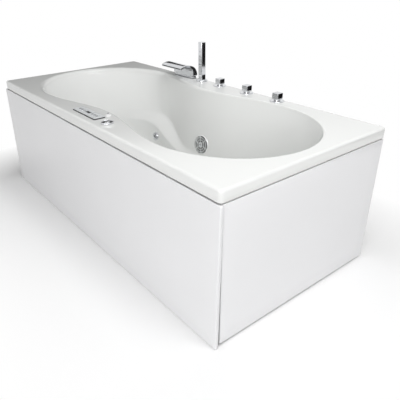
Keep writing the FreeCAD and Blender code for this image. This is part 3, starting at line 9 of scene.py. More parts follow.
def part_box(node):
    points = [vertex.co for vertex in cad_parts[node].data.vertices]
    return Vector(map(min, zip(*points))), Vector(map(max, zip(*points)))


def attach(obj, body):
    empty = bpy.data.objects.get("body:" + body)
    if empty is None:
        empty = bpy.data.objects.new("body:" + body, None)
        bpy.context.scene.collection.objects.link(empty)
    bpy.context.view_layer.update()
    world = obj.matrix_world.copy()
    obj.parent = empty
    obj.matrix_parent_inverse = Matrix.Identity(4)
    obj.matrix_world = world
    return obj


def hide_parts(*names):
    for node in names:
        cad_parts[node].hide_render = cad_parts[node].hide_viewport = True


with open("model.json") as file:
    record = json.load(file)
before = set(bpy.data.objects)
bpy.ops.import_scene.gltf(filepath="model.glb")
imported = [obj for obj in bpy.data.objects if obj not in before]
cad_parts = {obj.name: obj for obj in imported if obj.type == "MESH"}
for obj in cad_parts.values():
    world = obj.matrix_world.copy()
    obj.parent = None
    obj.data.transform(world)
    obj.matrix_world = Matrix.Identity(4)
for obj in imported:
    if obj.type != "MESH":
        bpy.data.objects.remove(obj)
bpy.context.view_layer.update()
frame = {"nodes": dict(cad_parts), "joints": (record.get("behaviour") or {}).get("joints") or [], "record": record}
print("frame loaded:", len(frame["nodes"]), "nodes")


# camera at the photograph's place, worked out from the corners of the bath

view = {
    "place": (1.61641, -1.10224, 1.08847),
    "azimuth": 142.2512,        # degrees, from +X
    "elevation": -27.8489,
    "roll": -1.0258,
    "focal": 444.149,           # pixels of a 400 pixel frame
    "centreX": 188.026,
    "pixels": 400,
    "sensor": 36.0,
}


def makeCamera(facts):
    # forward from the two angles, right and up from it, then turned by the roll
    a, e, r = (math.radians(facts[k]) for k in ("azimuth", "elevation", "roll"))
    forward = Vector((math.cos(e) * math.cos(a), math.cos(e) * math.sin(a), math.sin(e)))
    right = forward.cross(Vector((0, 0, 1))).normalized()
    up = right.cross(forward)
    tiltedRight = right * math.cos(r) + up * math.sin(r)
    tiltedUp = up * math.cos(r) - right * math.sin(r)
    lens = bpy.data.cameras.new("camera")
    lens.sensor_width = facts["sensor"]
    lens.lens = facts["focal"] / facts["pixels"] * facts["sensor"]
    lens.shift_x = (facts["pixels"] / 2 - facts["centreX"]) / facts["pixels"]
    camera = bpy.data.objects.new("camera", lens)
    turn = Matrix((tiltedRight, tiltedUp, -forward)).transposed().to_4x4()
    camera.matrix_world = Matrix.Translation(facts["place"]) @ turn
    bpy.context.scene.collection.objects.link(camera)
    bpy.context.scene.camera = camera


makeCamera(view)
print("camera placed")


# shader maths written as Python

class Flow:
    def __init__(self, tree, socket):
        self.tree = tree
        self.socket = socket

    def combine(self, operation, first, second):
        return addNode(self.tree, "ShaderNodeMath", {"operation": operation}, {0: first, 1: second})["Value"]

    def __add__(self, other): return self.combine("ADD", self, other)
    def __radd__(self, other): return self.combine("ADD", other, self)
    def __sub__(self, other): return self.combine("SUBTRACT", self, other)
    def __rsub__(self, other): return self.combine("SUBTRACT", other, self)
    def __mul__(self, other): return self.combine("MULTIPLY", self, other)
    def __rmul__(self, other): return self.combine("MULTIPLY", other, self)
    def __pow__(self, other): return self.combine("POWER", self, other)
    def __rpow__(self, other): return self.combine("POWER", other, self)
    def under(self, other): return self.combine("LESS_THAN", self, other)
    def most(self, other): return self.combine("MAXIMUM", self, other)
    def least(self, other): return self.combine("MINIMUM", self, other)
    def size(self): return self.combine("ABSOLUTE", self, 0.0)


def addNode(tree, kind, settings, inputs):
    # a new node: its settings first, then the values or links of its sockets
    made = tree.nodes.new(kind)
    for key, amount in settings.items():
        setattr(made, key, amount)
    for key, amount in inputs.items():
        if isinstance(amount, Flow):
            tree.links.new(amount.socket, made.inputs[key])
        else:
            made.inputs[key].default_value = amount
    return {out.name: Flow(tree, out) for out in made.outputs if out.enabled}


class Finish:
    # one material: a Principled shader and whatever drives it
    def __init__(self, name, colour, roughness, **constants):
        self.material = bpy.data.materials.new(name)
        self.material.use_nodes = True
        self.tree = self.material.node_tree
        self.shader = self.tree.nodes["Principled BSDF"]
        self.set("Base Color", (*colour, 1))
        self.set("Roughness", roughness)
        for key, amount in constants.items():
            self.set(key.replace("_", " "), amount)
        self.place = self.node("ShaderNodeTexCoord", {}, {})["Object"]

    def set(self, name, amount):
        slot = self.shader.inputs[name]
        if isinstance(amount, Flow):
            self.tree.links.new(amount.socket, slot)
        else:
            slot.default_value = amount

    def node(self, kind, settings, inputs):
        return addNode(self.tree, kind, settings, inputs)

    def noise(self, scale, detail=3.0, stretch=None):
        place = self.place
        if stretch:
            place = self.node("ShaderNodeMapping", {}, {"Vector": place, "Scale": stretch})["Vector"]
        return self.node("ShaderNodeTexNoise", {}, {"Vector": place, "Scale": scale, "Detail": detail})["Fac"]

    def tint(self, mask, low, high):
        # colour from low to high with the mask; a Mix node takes colours at 6 and 7 and gives one at 2
        made = self.node("ShaderNodeMix", {"data_type": "RGBA"}, {0: mask, 6: (*low, 1), 7: (*high, 1)})
        return Flow(self.tree, made["Result"].socket.node.outputs[2])

    def uneven(self, colour, look, detail=3.0):
        # base colour that drifts down to a darker share of itself
        darker = [c * look["dark"] for c in colour]
        self.set("Base Color", self.tint(self.noise(look["toneScale"], detail), darker, colour))

    def bump(self, height, look):
        slots = {"Height": height, "Strength": look["relief"], "Distance": look["depth"]}
        self.set("Normal", self.node("ShaderNodeBump", {}, slots)["Normal"])


acrylicLook = {"cloudScale": 2.2, "smearScale": 9.0, "smear": 0.06, "waveScale": 5.0, "peelScale": 160.0,
               "peel": 0.04, "relief": 0.5, "depth": 0.002, "specular": 0.45}


def acrylic(name, low, high, gloss, waviness):
    # glossy white sheet: faint waves, a breath of uneven gloss and slight cloudiness
    look = acrylicLook
    made = Finish(name, high, gloss, Specular_IOR_Level=look["specular"])
    made.set("Base Color", made.tint(made.noise(look["cloudScale"]), low, high))
    made.set("Roughness", made.noise(look["smearScale"], detail=4.0) * look["smear"] + gloss)
    waves = made.noise(look["waveScale"], detail=2.0) * waviness
    peel = made.noise(look["peelScale"], detail=2.0) * look["peel"]
    made.bump(waves + peel, look)
    return made.material


platedLook = {"smearScale": 45.0, "smear": 0.08, "toneScale": 18.0, "dark": 0.95, "peelScale": 400.0,
              "relief": 0.04, "depth": 0.0005}


def polished(name, colour, gloss):
    # plated metal: smears in the gloss and a trace of orange peel
    look = platedLook
    made = Finish(name, colour, gloss, Metallic=1.0)
    made.set("Roughness", made.noise(look["smearScale"], detail=5.0) * look["smear"] + gloss)
    made.uneven(colour, look, detail=2.0)
    made.bump(made.noise(look["peelScale"], detail=2.0), look)
    return made.material


mouldedLook = {"toneScale": 11.0, "dark": 0.9, "smearScale": 60.0, "smear": 0.12, "relief": 0.12,
               "depth": 0.0004}


def moulded(name, colour, gloss, grain=900.0):
    # moulded plastic: fine spark-eroded grain and slightly uneven colour
    look = mouldedLook
    made = Finish(name, colour, gloss)
    made.uneven(colour, look)
    made.set("Roughness", made.noise(look["smearScale"]) * look["smear"] + gloss)
    made.bump(made.noise(grain, detail=2.0), look)
    return made.material


displayLook = {"middle": (-0.012, -0.3415), "half": (0.0150, 0.0065), "gloss": 0.22, "toneScale": 30.0,
               "tone": 0.1, "smearScale": 60.0, "smear": 0.1, "leastGloss": 0.2, "grain": 1500.0,
               "relief": 0.1, "depth": 0.0003}


def displayFoil(name, dark, border):
    # dark window printed inside a silver border
    look = displayLook
    made = Finish(name, dark, look["gloss"])
    place = made.node("ShaderNodeSeparateXYZ", {}, {"Vector": made.place})
    inside = [(place[axis] - middle).size().under(half)
              for axis, middle, half in zip("XY", look["middle"], look["half"])]
    shade = (inside[0] * inside[1]) * (made.noise(look["toneScale"]) * look["tone"] + (1 - look["tone"]))
    made.set("Base Color", made.tint(shade, border, dark))
    made.set("Roughness", made.noise(look["smearScale"]) * look["smear"] + look["leastGloss"])
    made.bump(made.noise(look["grain"], detail=2.0), look)
    return made.material


zincLook = {"colour": (0.60, 0.62, 0.63), "metal": 0.85, "crystals": 120.0, "dark": (0.50, 0.52, 0.53),
            "light": (0.70, 0.72, 0.73), "gloss": 0.32, "glossSpread": 0.2, "grain": 300.0, "relief": 0.1,
            "depth": 0.0005}


def galvanised(name):
    # zinc spangle: angular crystals, each with its own tone and gloss
    look = zincLook
    made = Finish(name, look["colour"], look["gloss"], Metallic=look["metal"])
    crystals = made.node("ShaderNodeTexVoronoi", {"feature": "F1"},
                         {"Vector": made.place, "Scale": look["crystals"]})
    tone = made.node("ShaderNodeSeparateColor", {}, {"Color": crystals["Color"]})["Red"]
    made.set("Base Color", made.tint(tone, look["dark"], look["light"]))
    made.set("Roughness", tone * look["glossSpread"] + look["gloss"])
    made.bump(made.noise(look["grain"]), look)
    return made.material


pineLook = {"pale": (0.72, 0.56, 0.36), "dark": (0.50, 0.34, 0.19), "ringStretch": (0.35, 9.0, 9.0),
            "ringScale": 3.0, "ringWander": 5.0, "ringDetail": 3.0, "fibreScale": 40.0,
            "fibreStretch": (1.0, 22.0, 22.0), "ringShare": 0.7, "gloss": 0.5, "glossSpread": 0.2,
            "relief": 0.25, "depth": 0.0008}


def timber(name):
    # sawn pine: rings stretched along X, darker late wood, fine fibres
    look = pineLook
    made = Finish(name, look["pale"], look["gloss"])
    along = made.node("ShaderNodeMapping", {}, {"Vector": made.place, "Scale": look["ringStretch"]})["Vector"]
    rings = made.node("ShaderNodeTexWave", {"wave_type": "RINGS", "rings_direction": "X"},
                      {"Vector": along, "Scale": look["ringScale"], "Distortion": look["ringWander"],
                       "Detail": look["ringDetail"]})["Fac"]
    fibre = made.noise(look["fibreScale"], detail=4.0, stretch=look["fibreStretch"])
    grain = rings * look["ringShare"] + fibre * (1 - look["ringShare"])
    made.set("Base Color", made.tint(grain, look["pale"], look["dark"]))
    made.set("Roughness", fibre * look["glossSpread"] + look["gloss"])
    made.bump(fibre, look)
    return made.material


finishes = {
    "acrylic_white": acrylic("bathAcrylic", (0.79, 0.80, 0.785), (0.82, 0.825, 0.815), 0.10, 0.35),
    "panel_white": acrylic("panelAcrylic", (0.80, 0.80, 0.81), (0.83, 0.83, 0.84), 0.16, 0.6),
    "chrome": polished("fittingChrome", (0.66, 0.67, 0.69), 0.06),
    "nozzle_chrome": polished("nozzleChrome", (0.66, 0.67, 0.69), 0.10),
    "pipe_pvc": moulded("pipePvc", (0.80, 0.80, 0.77), 0.36),
    "air_hose": moulded("airHose", (0.70, 0.74, 0.76), 0.30),
    "galvanised_steel": galvanised("galvanisedSteel"),
    "timber": timber("sawnPine"),
    "pump_dark": moulded("pumpCasing", (0.055, 0.060, 0.066), 0.45),
    "brass": polished("machinedBrass", (0.66, 0.50, 0.26), 0.22),
    "keypad_silver": moulded("keypadFoil", (0.74, 0.76, 0.77), 0.22, 1500.0),
    "display_dark": displayFoil("displayWindow", (0.012, 0.012, 0.014), (0.60, 0.62, 0.63)),
    "key_grey": moulded("keyCaps", (0.16, 0.17, 0.18), 0.30),
    "white_plastic": moulded("whitePlastic", (0.86, 0.86, 0.86), 0.22),
    "rubber": moulded("blackRubber", (0.015, 0.015, 0.016), 0.62),
    "box_grey": moulded("boxPlastic", (0.42, 0.44, 0.45), 0.42),
}
slotOf = {item["node"]: item["material_slot"] for item in frame["record"]["subparts"]}
for nodeName, item in frame["nodes"].items():
    item.data.materials.clear()
    item.data.materials.append(finishes[slotOf[nodeName]])
print("materials made:", len(finishes))


# meshes from arrays

# angles between faces, in radians, past which an edge stays sharp
softEdge, ringEdge, fineEdge, blockEdge = 0.9, 0.7, 0.6, 0.5


def meshOf(name, points, faces, body, slot, sharpAngle):
    # a smooth mesh with sharp edges where two faces meet at more than the angle
    mesh = bpy.data.meshes.new(name)
    mesh.from_pydata(points.reshape(-1, 3).tolist(), [], [list(f) for f in faces])
    mesh.polygons.foreach_set("use_smooth", [True] * len(mesh.polygons))
    work = bmesh.new()
    work.from_mesh(mesh)
    for edge in work.edges:
        edge.smooth = edge.calc_face_angle(0) < sharpAngle
    work.to_mesh(mesh)
    work.free()
    mesh.materials.append(finishes[slot])
    item = bpy.data.objects.new(name, mesh)
    bpy.context.scene.collection.objects.link(item)
    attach(item, body)
    return item


def tubeFaces(rows, count):
    # quads between neighbouring closed rows of count points each
    r, c = np.meshgrid(np.arange(rows - 1), np.arange(count), indexing="ij")
    a = r * count + c
    b = r * count + (c + 1) % count
    return np.stack([a, b, b + count, a + count], -1).reshape(-1, 4)


def closedLoft(rings):
    # skin over closed rings of equal counts, fanned shut over the first and the last
    rows, count = rings.shape[:2]
    total = rows * count
    points = np.concatenate([rings.reshape(-1, 3), rings[0].mean(0)[None], rings[-1].mean(0)[None]])
    ring = np.arange(count)
    follow = (ring + 1) % count
    faces = tubeFaces(rows, count).tolist()
    faces += np.stack([follow, ring, np.full(count, total)], -1).tolist()
    faces += np.stack([total - count + ring, total - count + follow, np.full(count, total + 1)], -1).tolist()
    return points, faces


def loopedLoft(rings):
    # skin over rings whose last one joins the first, so a hole runs through the body
    rows, count = rings.shape[:2]
    return rings.reshape(-1, 3), (tubeFaces(rows + 1, count) % (rows * count)).tolist()


def moved(points, turn):
    return points @ np.array(turn.to_3x3()).T + np.array(turn.translation)


def circle(angle):
    # points of the unit circle at these angles
    return np.stack([np.cos(angle), np.sin(angle)], -1)


def flat(points, z):
    return np.concatenate([points, np.full((len(points), 1), z)], 1)


def turnedRings(profile, count, turn, swell):
    # (radius, height) pairs turned about local Z; swell gives each angle its own share of the radius
    angle = np.linspace(0, 2 * math.pi, count, endpoint=False)
    share = swell(angle)[:, None] if swell else 1.0
    rings = np.array([flat(radius * share * circle(angle), height) for radius, height in profile])
    return moved(rings, turn)


def lathe(profile, count, turn, swell=None):
    return closedLoft(turnedRings(profile, count, turn, swell))


def hollowLathe(profile, count, turn, swell=None):
    # as lathe, but the profile is a closed loop round a through hole
    return loopedLoft(turnedRings(profile, count, turn, swell))


def joined(parts):
    # several closed bodies as one mesh
    points, faces, base = [], [], 0
    for somePoints, someFaces in parts:
        points.append(somePoints)
        faces += [[i + base for i in face] for face in someFaces]
        base += len(somePoints)
    return np.concatenate(points), faces


def seatTurn(place, into):
    # local frame of a wall fitting: Z into the basin, Y up the wall
    z = Vector(into).normalized()
    x = Vector((0, 0, 1)).cross(z).normalized()
    turn = Matrix((x, z.cross(x), z)).transposed().to_4x4()
    return Matrix.Translation(place) @ turn


def upTurn(x, y):
    return Matrix.Translation((x, y, 0))


def upright(node):
    # middle of a node's box seen from above, then its lowest and highest point
    low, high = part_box(node)
    return (low.x + high.x) / 2, (low.y + high.y) / 2, low.z, high.z


def shoulder(radius, top, edge, count=5):
    # quarter round from a wall of this radius on to the flat above it
    return [(radius - edge * (1 - math.cos(a)), top - edge * (1 - math.sin(a)))
            for a in np.linspace(0, math.pi / 2, count)]


def stepped(radius, height, pairs):
    # profile points given by how far they stand in from a radius and below a height
    return [(radius - inset, height - drop) for inset, drop in pairs]


def ease(ratio):
    ratio = np.clip(ratio, 0, 1)
    return ratio * ratio * (3 - 2 * ratio)


# the bath shell: one thick sheet whose rows go round the lip, over the rim and down into the basin

bath = {
    "length": 1.700, "width": 0.800, "top": 0.565, "lip": 0.040, "plate": 0.008, "wall": 0.006,
    "edgeRound": 0.009, "underRound": 0.008, "underShare": 0.35, "cornerRound": 0.014, "leastRound": 0.0008,
    "lipRows": ((0.0015, 0.0), (0.0004, 0.0004), (0.0, 0.0015), (0.0, 0.015)),      # inset and rise
    "lipShare": 0.9,
    "endHalf": 0.812, "lobeHalf": 0.338, "waistHalf": 0.272, "lobeX": 0.440,
    "endShare": 0.57, "cornerFrom": 0.30, "cornerTo": 0.33,      # shares of a quarter of the opening
    "rollBack": 0.020, "rollFoot": 0.006, "rollWall": 0.012, "rollChange": 0.400,
    "depth": 0.430, "floorRound": 0.070,
    "backRun": 0.380, "backBow": 1.1, "footRun": 0.130, "wallLean": 11.0,
    "troughHalf": 0.200, "troughLean": 8.5, "troughEnd": 0.352,
    "armrestZ": 0.345, "shelfZ": 0.245, "shelfStart": 0.080, "armrestEnd": 0.420, "band": 0.034,
    "endCount": 46, "cornerCount": 8, "sideCount": 90, "wallRows": 64, "edgeRows": 7, "floorRows": 13,
    "deckSteps": (0.10, 0.22, 0.36, 0.5, 0.64, 0.78, 0.90, 0.97),
    "floorSteps": (0.96, 0.90, 0.82, 0.73, 0.64, 0.55, 0.46, 0.37, 0.28, 0.19, 0.11, 0.05),
}
holes = {"suction": 0.043, "nozzle": 0.018, "overflow": 0.020, "deck": 0.010, "shower": 0.014, "waste": 0.024}

# where the wall fittings sit, and which way they look into the basin
wallSpots = {
    "jets": [((-0.3228, 0.1905, 0.2617), (0.1501, -0.9594, 0.2387)),
             ((-0.3228, -0.1905, 0.2617), (0.1501, 0.9594, 0.2387)),
             ((0.6752, 0.1130, 0.2524), (-0.7884, -0.5371, 0.3000)),
             ((0.6752, -0.1130, 0.2524), (-0.7884, 0.5371, 0.3000))],
    "suction": ((0.0299, 0.2152, 0.3065), (0.0420, -0.9810, 0.1910)),
}


def quarterTurns(b):
    # turn values of one quarter, with the same counts as the rim's outline
    first = np.linspace(0, b["cornerFrom"], b["endCount"], endpoint=False)
    corner = np.linspace(b["cornerFrom"], b["cornerTo"], b["cornerCount"], endpoint=False)
    side = np.linspace(b["cornerTo"], 1.0, b["sideCount"] + 1)
    return np.concatenate([first, corner, side])


def around(quarter):
    # the four quarters in order, each mirrored from the one before
    back = quarter[::-1]
    order = ((quarter, 1, 1), (back, -1, 1), (quarter, -1, -1), (back, 1, -1))
    return np.concatenate([part[:-1] * (sx, sy) for part, sx, sy in order])


def outline(b):
    # station along the bath and side share of each sample of the opening, all the way round
    t = quarterTurns(b)
    angle = np.minimum(t / b["endShare"], 1) * math.pi / 2
    onEnd = t < b["endShare"]
    station = np.where(onEnd, b["lobeX"] + (b["endHalf"] - b["lobeX"]) * np.cos(angle),
                       b["lobeX"] * (1 - (t - b["endShare"]) / (1 - b["endShare"])))
    share = np.where(onEnd, np.sin(angle), 1.0)
    return around(np.stack([station, share], -1))


def rimOutline(b, inset):
    # rounded rectangle of the rim, drawn in by the inset, sampled as the opening is
    radius = max(b["cornerRound"] - inset, b["leastRound"])
    halfX, halfY = b["length"] / 2 - inset, b["width"] / 2 - inset
    end = np.stack([np.full(b["endCount"], halfX),
                    np.linspace(0, halfY - radius, b["endCount"], endpoint=False)], -1)
    a = np.linspace(0, math.pi / 2, b["cornerCount"], endpoint=False)
    corner = circle(a) * radius + (halfX - radius, halfY - radius)
    side = np.stack([np.linspace(halfX - radius, 0, b["sideCount"] + 1),
                     np.full(b["sideCount"] + 1, halfY)], -1)
    return around(np.concatenate([end, corner, side]))


def rollAt(b):
    # rounding of the opening's edge: wide over the backrest, crisp at the foot end
    toBack = ease(0.5 - outline(b)[:, 0] / (2 * b["rollChange"]))
    return b["rollFoot"] + (b["rollBack"] - b["rollFoot"]) * toBack


def arcIn(radius, along):
    # how far a quarter round has come in after going this far along its upright side
    return np.sqrt(np.maximum(radius ** 2 - (radius - np.clip(along, 0, radius)) ** 2, 0))


def basinRow(b, z, grow):
    # wall of the basin at height z: leaned ends, tapered sides, the armrest ledge where the
    # wall steps in to the trough, and the rounding into the floor
    station, share = outline(b).T
    roll = rollAt(b)
    drop = b["top"] - z
    rollIn = arcIn(roll, drop) - (roll - b["rollWall"])
    below = np.maximum(drop - roll, 0)
    roundIn = b["floorRound"] - arcIn(b["floorRound"], z - (b["top"] - b["depth"]))
    part = below / (b["depth"] - roll)
    reach = ease(np.abs(station) / b["endHalf"])
    lean = np.where(station < 0, b["backRun"] * part ** b["backBow"], b["footRun"] * part)
    x = station - np.sign(station) * reach * (lean + rollIn + roundIn - grow)
    swell = (1 - np.cos(math.pi * np.minimum(np.abs(station), b["lobeX"]) / b["lobeX"])) / 2
    rimHalf = b["waistHalf"] + (b["lobeHalf"] - b["waistHalf"]) * swell
    upper = rimHalf * (1 - math.tan(math.radians(b["wallLean"])) * below / b["waistHalf"]) - rollIn
    lower = b["troughHalf"] - math.tan(math.radians(b["troughLean"])) * (b["armrestZ"] - z)
    lower = lower + (upper - lower) * ease(station / b["troughEnd"])
    shelf = b["shelfZ"] + (b["armrestZ"] - b["shelfZ"]) * ease(
        (-x - b["shelfStart"]) / (b["armrestEnd"] - b["shelfStart"]))
    ledge = ease((shelf - z) / b["band"] + 0.5)
    y = upper + (lower - upper) * ledge - roundIn + grow
    return np.stack([x, share * y, z + 0 * x], -1)


def shellRows(b):
    # matching rows of the top sheet and of the sheet below it
    top, under = [], []
    quarter = np.linspace(0, math.pi / 2, b["edgeRows"])
    lipZ, deckZ = b["top"] - b["lip"], b["top"] - b["plate"]
    for inset, rise in b["lipRows"]:
        top.append(flat(rimOutline(b, inset), lipZ + rise))
        under.append(flat(rimOutline(b, b["wall"] - inset * b["lipShare"]), lipZ + rise))
    for a in quarter:
        inset = b["edgeRound"] * (1 - math.cos(a))
        top.append(flat(rimOutline(b, inset), b["top"] - b["edgeRound"] * (1 - math.sin(a))))
        under.append(flat(rimOutline(b, b["wall"] + inset * b["underShare"]),
                          deckZ - b["underRound"] * (1 - math.sin(a))))
    edgeTop, edgeUnder = top[-1], under[-1]
    rimTop, rimUnder = basinRow(b, b["top"], 0.0), basinRow(b, b["top"], b["wall"])
    rimUnder[:, 2] = deckZ
    for k in b["deckSteps"]:
        top.append(edgeTop * (1 - k) + rimTop * k)
        under.append(edgeUnder * (1 - k) + rimUnder * k)
    heights = [b["top"] - rollAt(b) * (1 - math.cos(a)) for a in quarter]
    wallTop, wallLow = heights[-1], b["top"] - b["depth"] + b["floorRound"]
    heights += list(np.linspace(wallTop, np.full_like(wallTop, wallLow), b["wallRows"])[1:])
    floorTurn = np.linspace(0, math.pi / 2, b["floorRows"])[1:]
    heights += [wallLow - b["floorRound"] * math.sin(a) for a in floorTurn]
    for z in heights:
        top.append(basinRow(b, z, 0.0))
        row = basinRow(b, z, b["wall"])
        row[:, 2] = np.minimum(z - b["wall"], deckZ)
        under.append(row)
    for rows, z in ((top, heights[-1]), (under, heights[-1] - b["wall"])):
        edge = rows[-1]
        middle = np.array([(edge[:, 0].min() + edge[:, 0].max()) / 2, 0, z])
        rows += [middle + (edge - middle) * k for k in b["floorSteps"]]
    return np.array(top), np.array(under)


def holeSpots(b, wide):
    # centre and radius of each hole that a moving piece passes through, and of the one behind the grille
    spots = [(wallSpots["suction"][0], wide["suction"])]
    for joint in frame["joints"]:
        name = joint["name"]
        if name.startswith("nozzle"):
            spots.append((joint["pos_m"], wide["nozzle"]))
        elif name == "overflow_turn":
            spots.append((joint["pos_m"], wide["overflow"]))
        elif name.endswith("_turn"):
            spots.append(((*joint["pos_m"][:2], b["top"]), wide["deck"]))
    x, y = upright("hand_shower")[:2]
    spots.append(((x, y, b["top"]), wide["shower"]))
    spots.append(((upright("waste_plug")[0], 0, b["top"] - b["depth"]), wide["waste"]))
    return spots


def sheetFaces(top, under, kept):
    # two matching grids joined into a closed body: at the first row, over the middle of the last
    # row, and round every cell that is left out
    rows, count = top.shape[:2]
    points = np.concatenate([top.reshape(-1, 3), under.reshape(-1, 3),
                             top[-1].mean(0)[None], under[-1].mean(0)[None]])
    below = rows * count
    quads = tubeFaces(rows, count)[kept.reshape(-1)]
    index = np.arange(below).reshape(rows, count)
    follow = np.roll(index, -1, 1)
    after = np.roll(kept, -1, 1)
    edges = [(kept[:-1] & ~kept[1:], follow[1:-1], index[1:-1]),
             (~kept[:-1] & kept[1:], index[1:-1], follow[1:-1]),
             (kept & ~after, follow[:-1], follow[1:]),
             (~kept & after, follow[1:], follow[:-1])]
    walls = [(a[open_], c[open_]) for open_, a, c in edges] + [(index[0], follow[0])]
    faces = [quads, (quads + below)[:, ::-1]]
    faces += [np.stack([c, a, a + below, c + below], -1) for a, c in walls]
    last, lastFollow = index[-1], follow[-1]
    fans = [np.stack([last, lastFollow, np.full(count, 2 * below)], -1),
            np.stack([lastFollow + below, last + below, np.full(count, 2 * below + 1)], -1)]
    return points, [f for block in faces + fans for f in block.tolist()]


def bathShell(b, wide):
    top, under = shellRows(b)
    after = np.roll(top, -1, 1)
    centre = (top[:-1] + after[:-1] + top[1:] + after[1:]) / 4
    kept = np.ones(centre.shape[:2], bool)
    for spot, radius in holeSpots(b, wide):
        kept &= np.linalg.norm(centre - np.array(spot), axis=-1) > radius
    item = meshOf("bathShell", *sheetFaces(top, under, kept), "tub", "acrylic_white", softEdge)
    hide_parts("tub_shell")


bathShell(bath, holes)
print("bath shell made")


# apron panels: trays with rounded edges

apronEdge = {"wall": 0.005, "edge": 0.0028, "corner": 0.004, "leastCorner": 0.0004, "bevel": 0.0008,
             "innerEdge": 0.001, "flat": 0.01, "faceSteps": (0.75, 0.5, 0.25)}
frontApron = {"width": 1.718, "height": 0.519, "depth": 0.013, "lean": -1.2, **apronEdge}
endApron = {"width": 0.787, "height": 0.509, "depth": 0.023, **apronEdge}


def roundedRectangle(width, height, radius, perSide=12, perCorner=5):
    # closed outline, anticlockwise, from the middle of the right side
    halfX, halfY = width / 2, height / 2
    a = np.linspace(0, math.pi / 2, perCorner)
    corner = circle(a) * radius + (halfX - radius, halfY - radius)
    right = np.stack([np.full(perSide, halfX), np.linspace(0, halfY - radius, perSide, endpoint=False)], -1)
    topSide = np.stack([np.linspace(halfX - radius, 0, perSide + 1)[1:], np.full(perSide, halfY)], -1)
    return around(np.concatenate([right, corner, topSide]))


def trayRows(p):
    # (inset, depth) pairs from the face's rounded edge to the back and over to the inside
    e, w, d, bevel, over = (p[k] for k in ("edge", "wall", "depth", "bevel", "innerEdge"))
    arc = [(e * (1 - math.sin(a)), e * (1 - math.cos(a))) for a in np.linspace(0, math.pi / 2, 5)]
    back = [(0.0, d - bevel), (bevel, d), (w - bevel, d), (w, d - bevel)]
    return arc + back + [(w, w + over), (w + over, w)]


def tray(name, p, turn, node):
    # X across, Y into the room behind the panel, Z up, then set in place by the turn
    middle = min(p["width"], p["height"]) / 2 - p["flat"]
    face = [(middle * k, 0.0) for k in p["faceSteps"]]
    inside = [(middle * k, p["wall"]) for k in p["faceSteps"][::-1]]
    rings = []
    for inset, depth in face + trayRows(p) + inside:
        ring = roundedRectangle(p["width"] - 2 * inset, p["height"] - 2 * inset,
                                max(p["corner"] - inset, p["leastCorner"]))
        rings.append(np.stack([ring[:, 0], np.full(len(ring), depth), ring[:, 1]], -1))
    item = meshOf(name, *closedLoft(moved(np.array(rings), turn)), "tub", "panel_white", softEdge)
    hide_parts(node)


def frontPlace(p):
    # middle of the front panel's face, leaned about its foot
    low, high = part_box("front_panel")
    turn = Matrix.Rotation(math.radians(p["lean"]), 4, "X")
    rise = turn @ Vector((0, 0, p["height"] / 2))
    return Matrix.Translation(Vector(((low.x + high.x) / 2, low.y, low.z)) + rise) @ turn


def endPlace():
    # middle of the end panel's face, turned to look along the bath
    low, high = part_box("end_panel")
    turn = Matrix.Rotation(math.radians(90), 4, "Z")
    return Matrix.Translation((high.x, (low.y + high.y) / 2, (low.z + high.z) / 2)) @ turn


tray("frontApron", frontApron, frontPlace(frontApron), "front_panel")
tray("endApron", endApron, endPlace(), "end_panel")
print("apron panels made")


# wall fittings

jetShape = {
    "outer": 0.0229, "foot": 0.0004, "bead": 0.0036, "beadFoot": 0.0018, "beadRise": 0.55, "beadRows": 9,
    "dish": ((0.0170, 0.0012), (0.0150, 0.0022), (0.0140, 0.0026), (0.0134, 0.0020), (0.0134, 0.0)),
    "sleeve": 0.0196, "bore": 0.0166, "boreStart": 0.009, "depth": 0.014,
    "ballDepth": 0.004, "flutes": 36, "fluteDepth": 0.012, "count": 144,
}


def jetRings(j):
    # fluted bead, a dish inside it and a sleeve into the wall, turned round the ball's seat
    half = j["bead"] / 2
    middle = j["outer"] - half
    bead = [(middle + half * math.cos(a), j["beadFoot"] + j["bead"] * j["beadRise"] * math.sin(a))
            for a in np.linspace(0, math.pi, j["beadRows"])]
    profile = [(j["sleeve"], -j["depth"]), (j["sleeve"], 0.0), (j["outer"], j["foot"]), *bead, *j["dish"],
               (j["bore"], -j["boreStart"]), (j["bore"], -j["depth"])]

    def flutes(angle):
        return 1 - j["fluteDepth"] * np.abs(np.sin(angle * j["flutes"] / 2)) ** 3

    bodies = []
    for ball, into in wallSpots["jets"]:
        turn = seatTurn(Vector(ball) + Vector(into).normalized() * j["ballDepth"], into)
        bodies.append(hollowLathe(profile, j["count"], turn, flutes))
    item = meshOf("jetRings", *joined(bodies), "tub", "chrome", ringEdge)
    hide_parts("jet_rings")


grille = {
    "radius": 0.0478, "crown": 0.0068, "flatness": 6, "bulge": 0.14, "thick": 0.0016, "leastLow": 0.0006,
    "underShare": 0.998,
    "rim": (0.0474, 0.0445), "slots": ((0.0435, 0.0375), (0.0325, 0.0265), (0.0215, 0.0150)),
    "slotEdge": 0.0008, "hub": (0.0095, 0.0080, 0.0065, 0.0050, 0.0030, 0.0012),
    "spokes": 6, "spokeTurn": 0.26, "spokeShare": 0.14, "count": 192,
    "colour": (0.84, 0.85, 0.86), "gloss": 0.26, "screenCount": 96,
    "screen": ((0.0001, -0.0006), (0.0270, -0.0006), (0.0270, -0.0140), (0.0297, -0.0140), (0.0297, 0.0),
               (0.0463, 0.0), (0.0463, 0.0004), (0.0001, 0.0004)),
}


def grilleHeight(g, radius):
    # low dome that ends in a rounded edge
    share = radius / g["radius"]
    edge = np.sqrt(np.clip(1 - share ** g["flatness"], 0, 1))
    return g["crown"] * edge * (1 - g["bulge"] + g["bulge"] * np.cos(share * math.pi / 2))


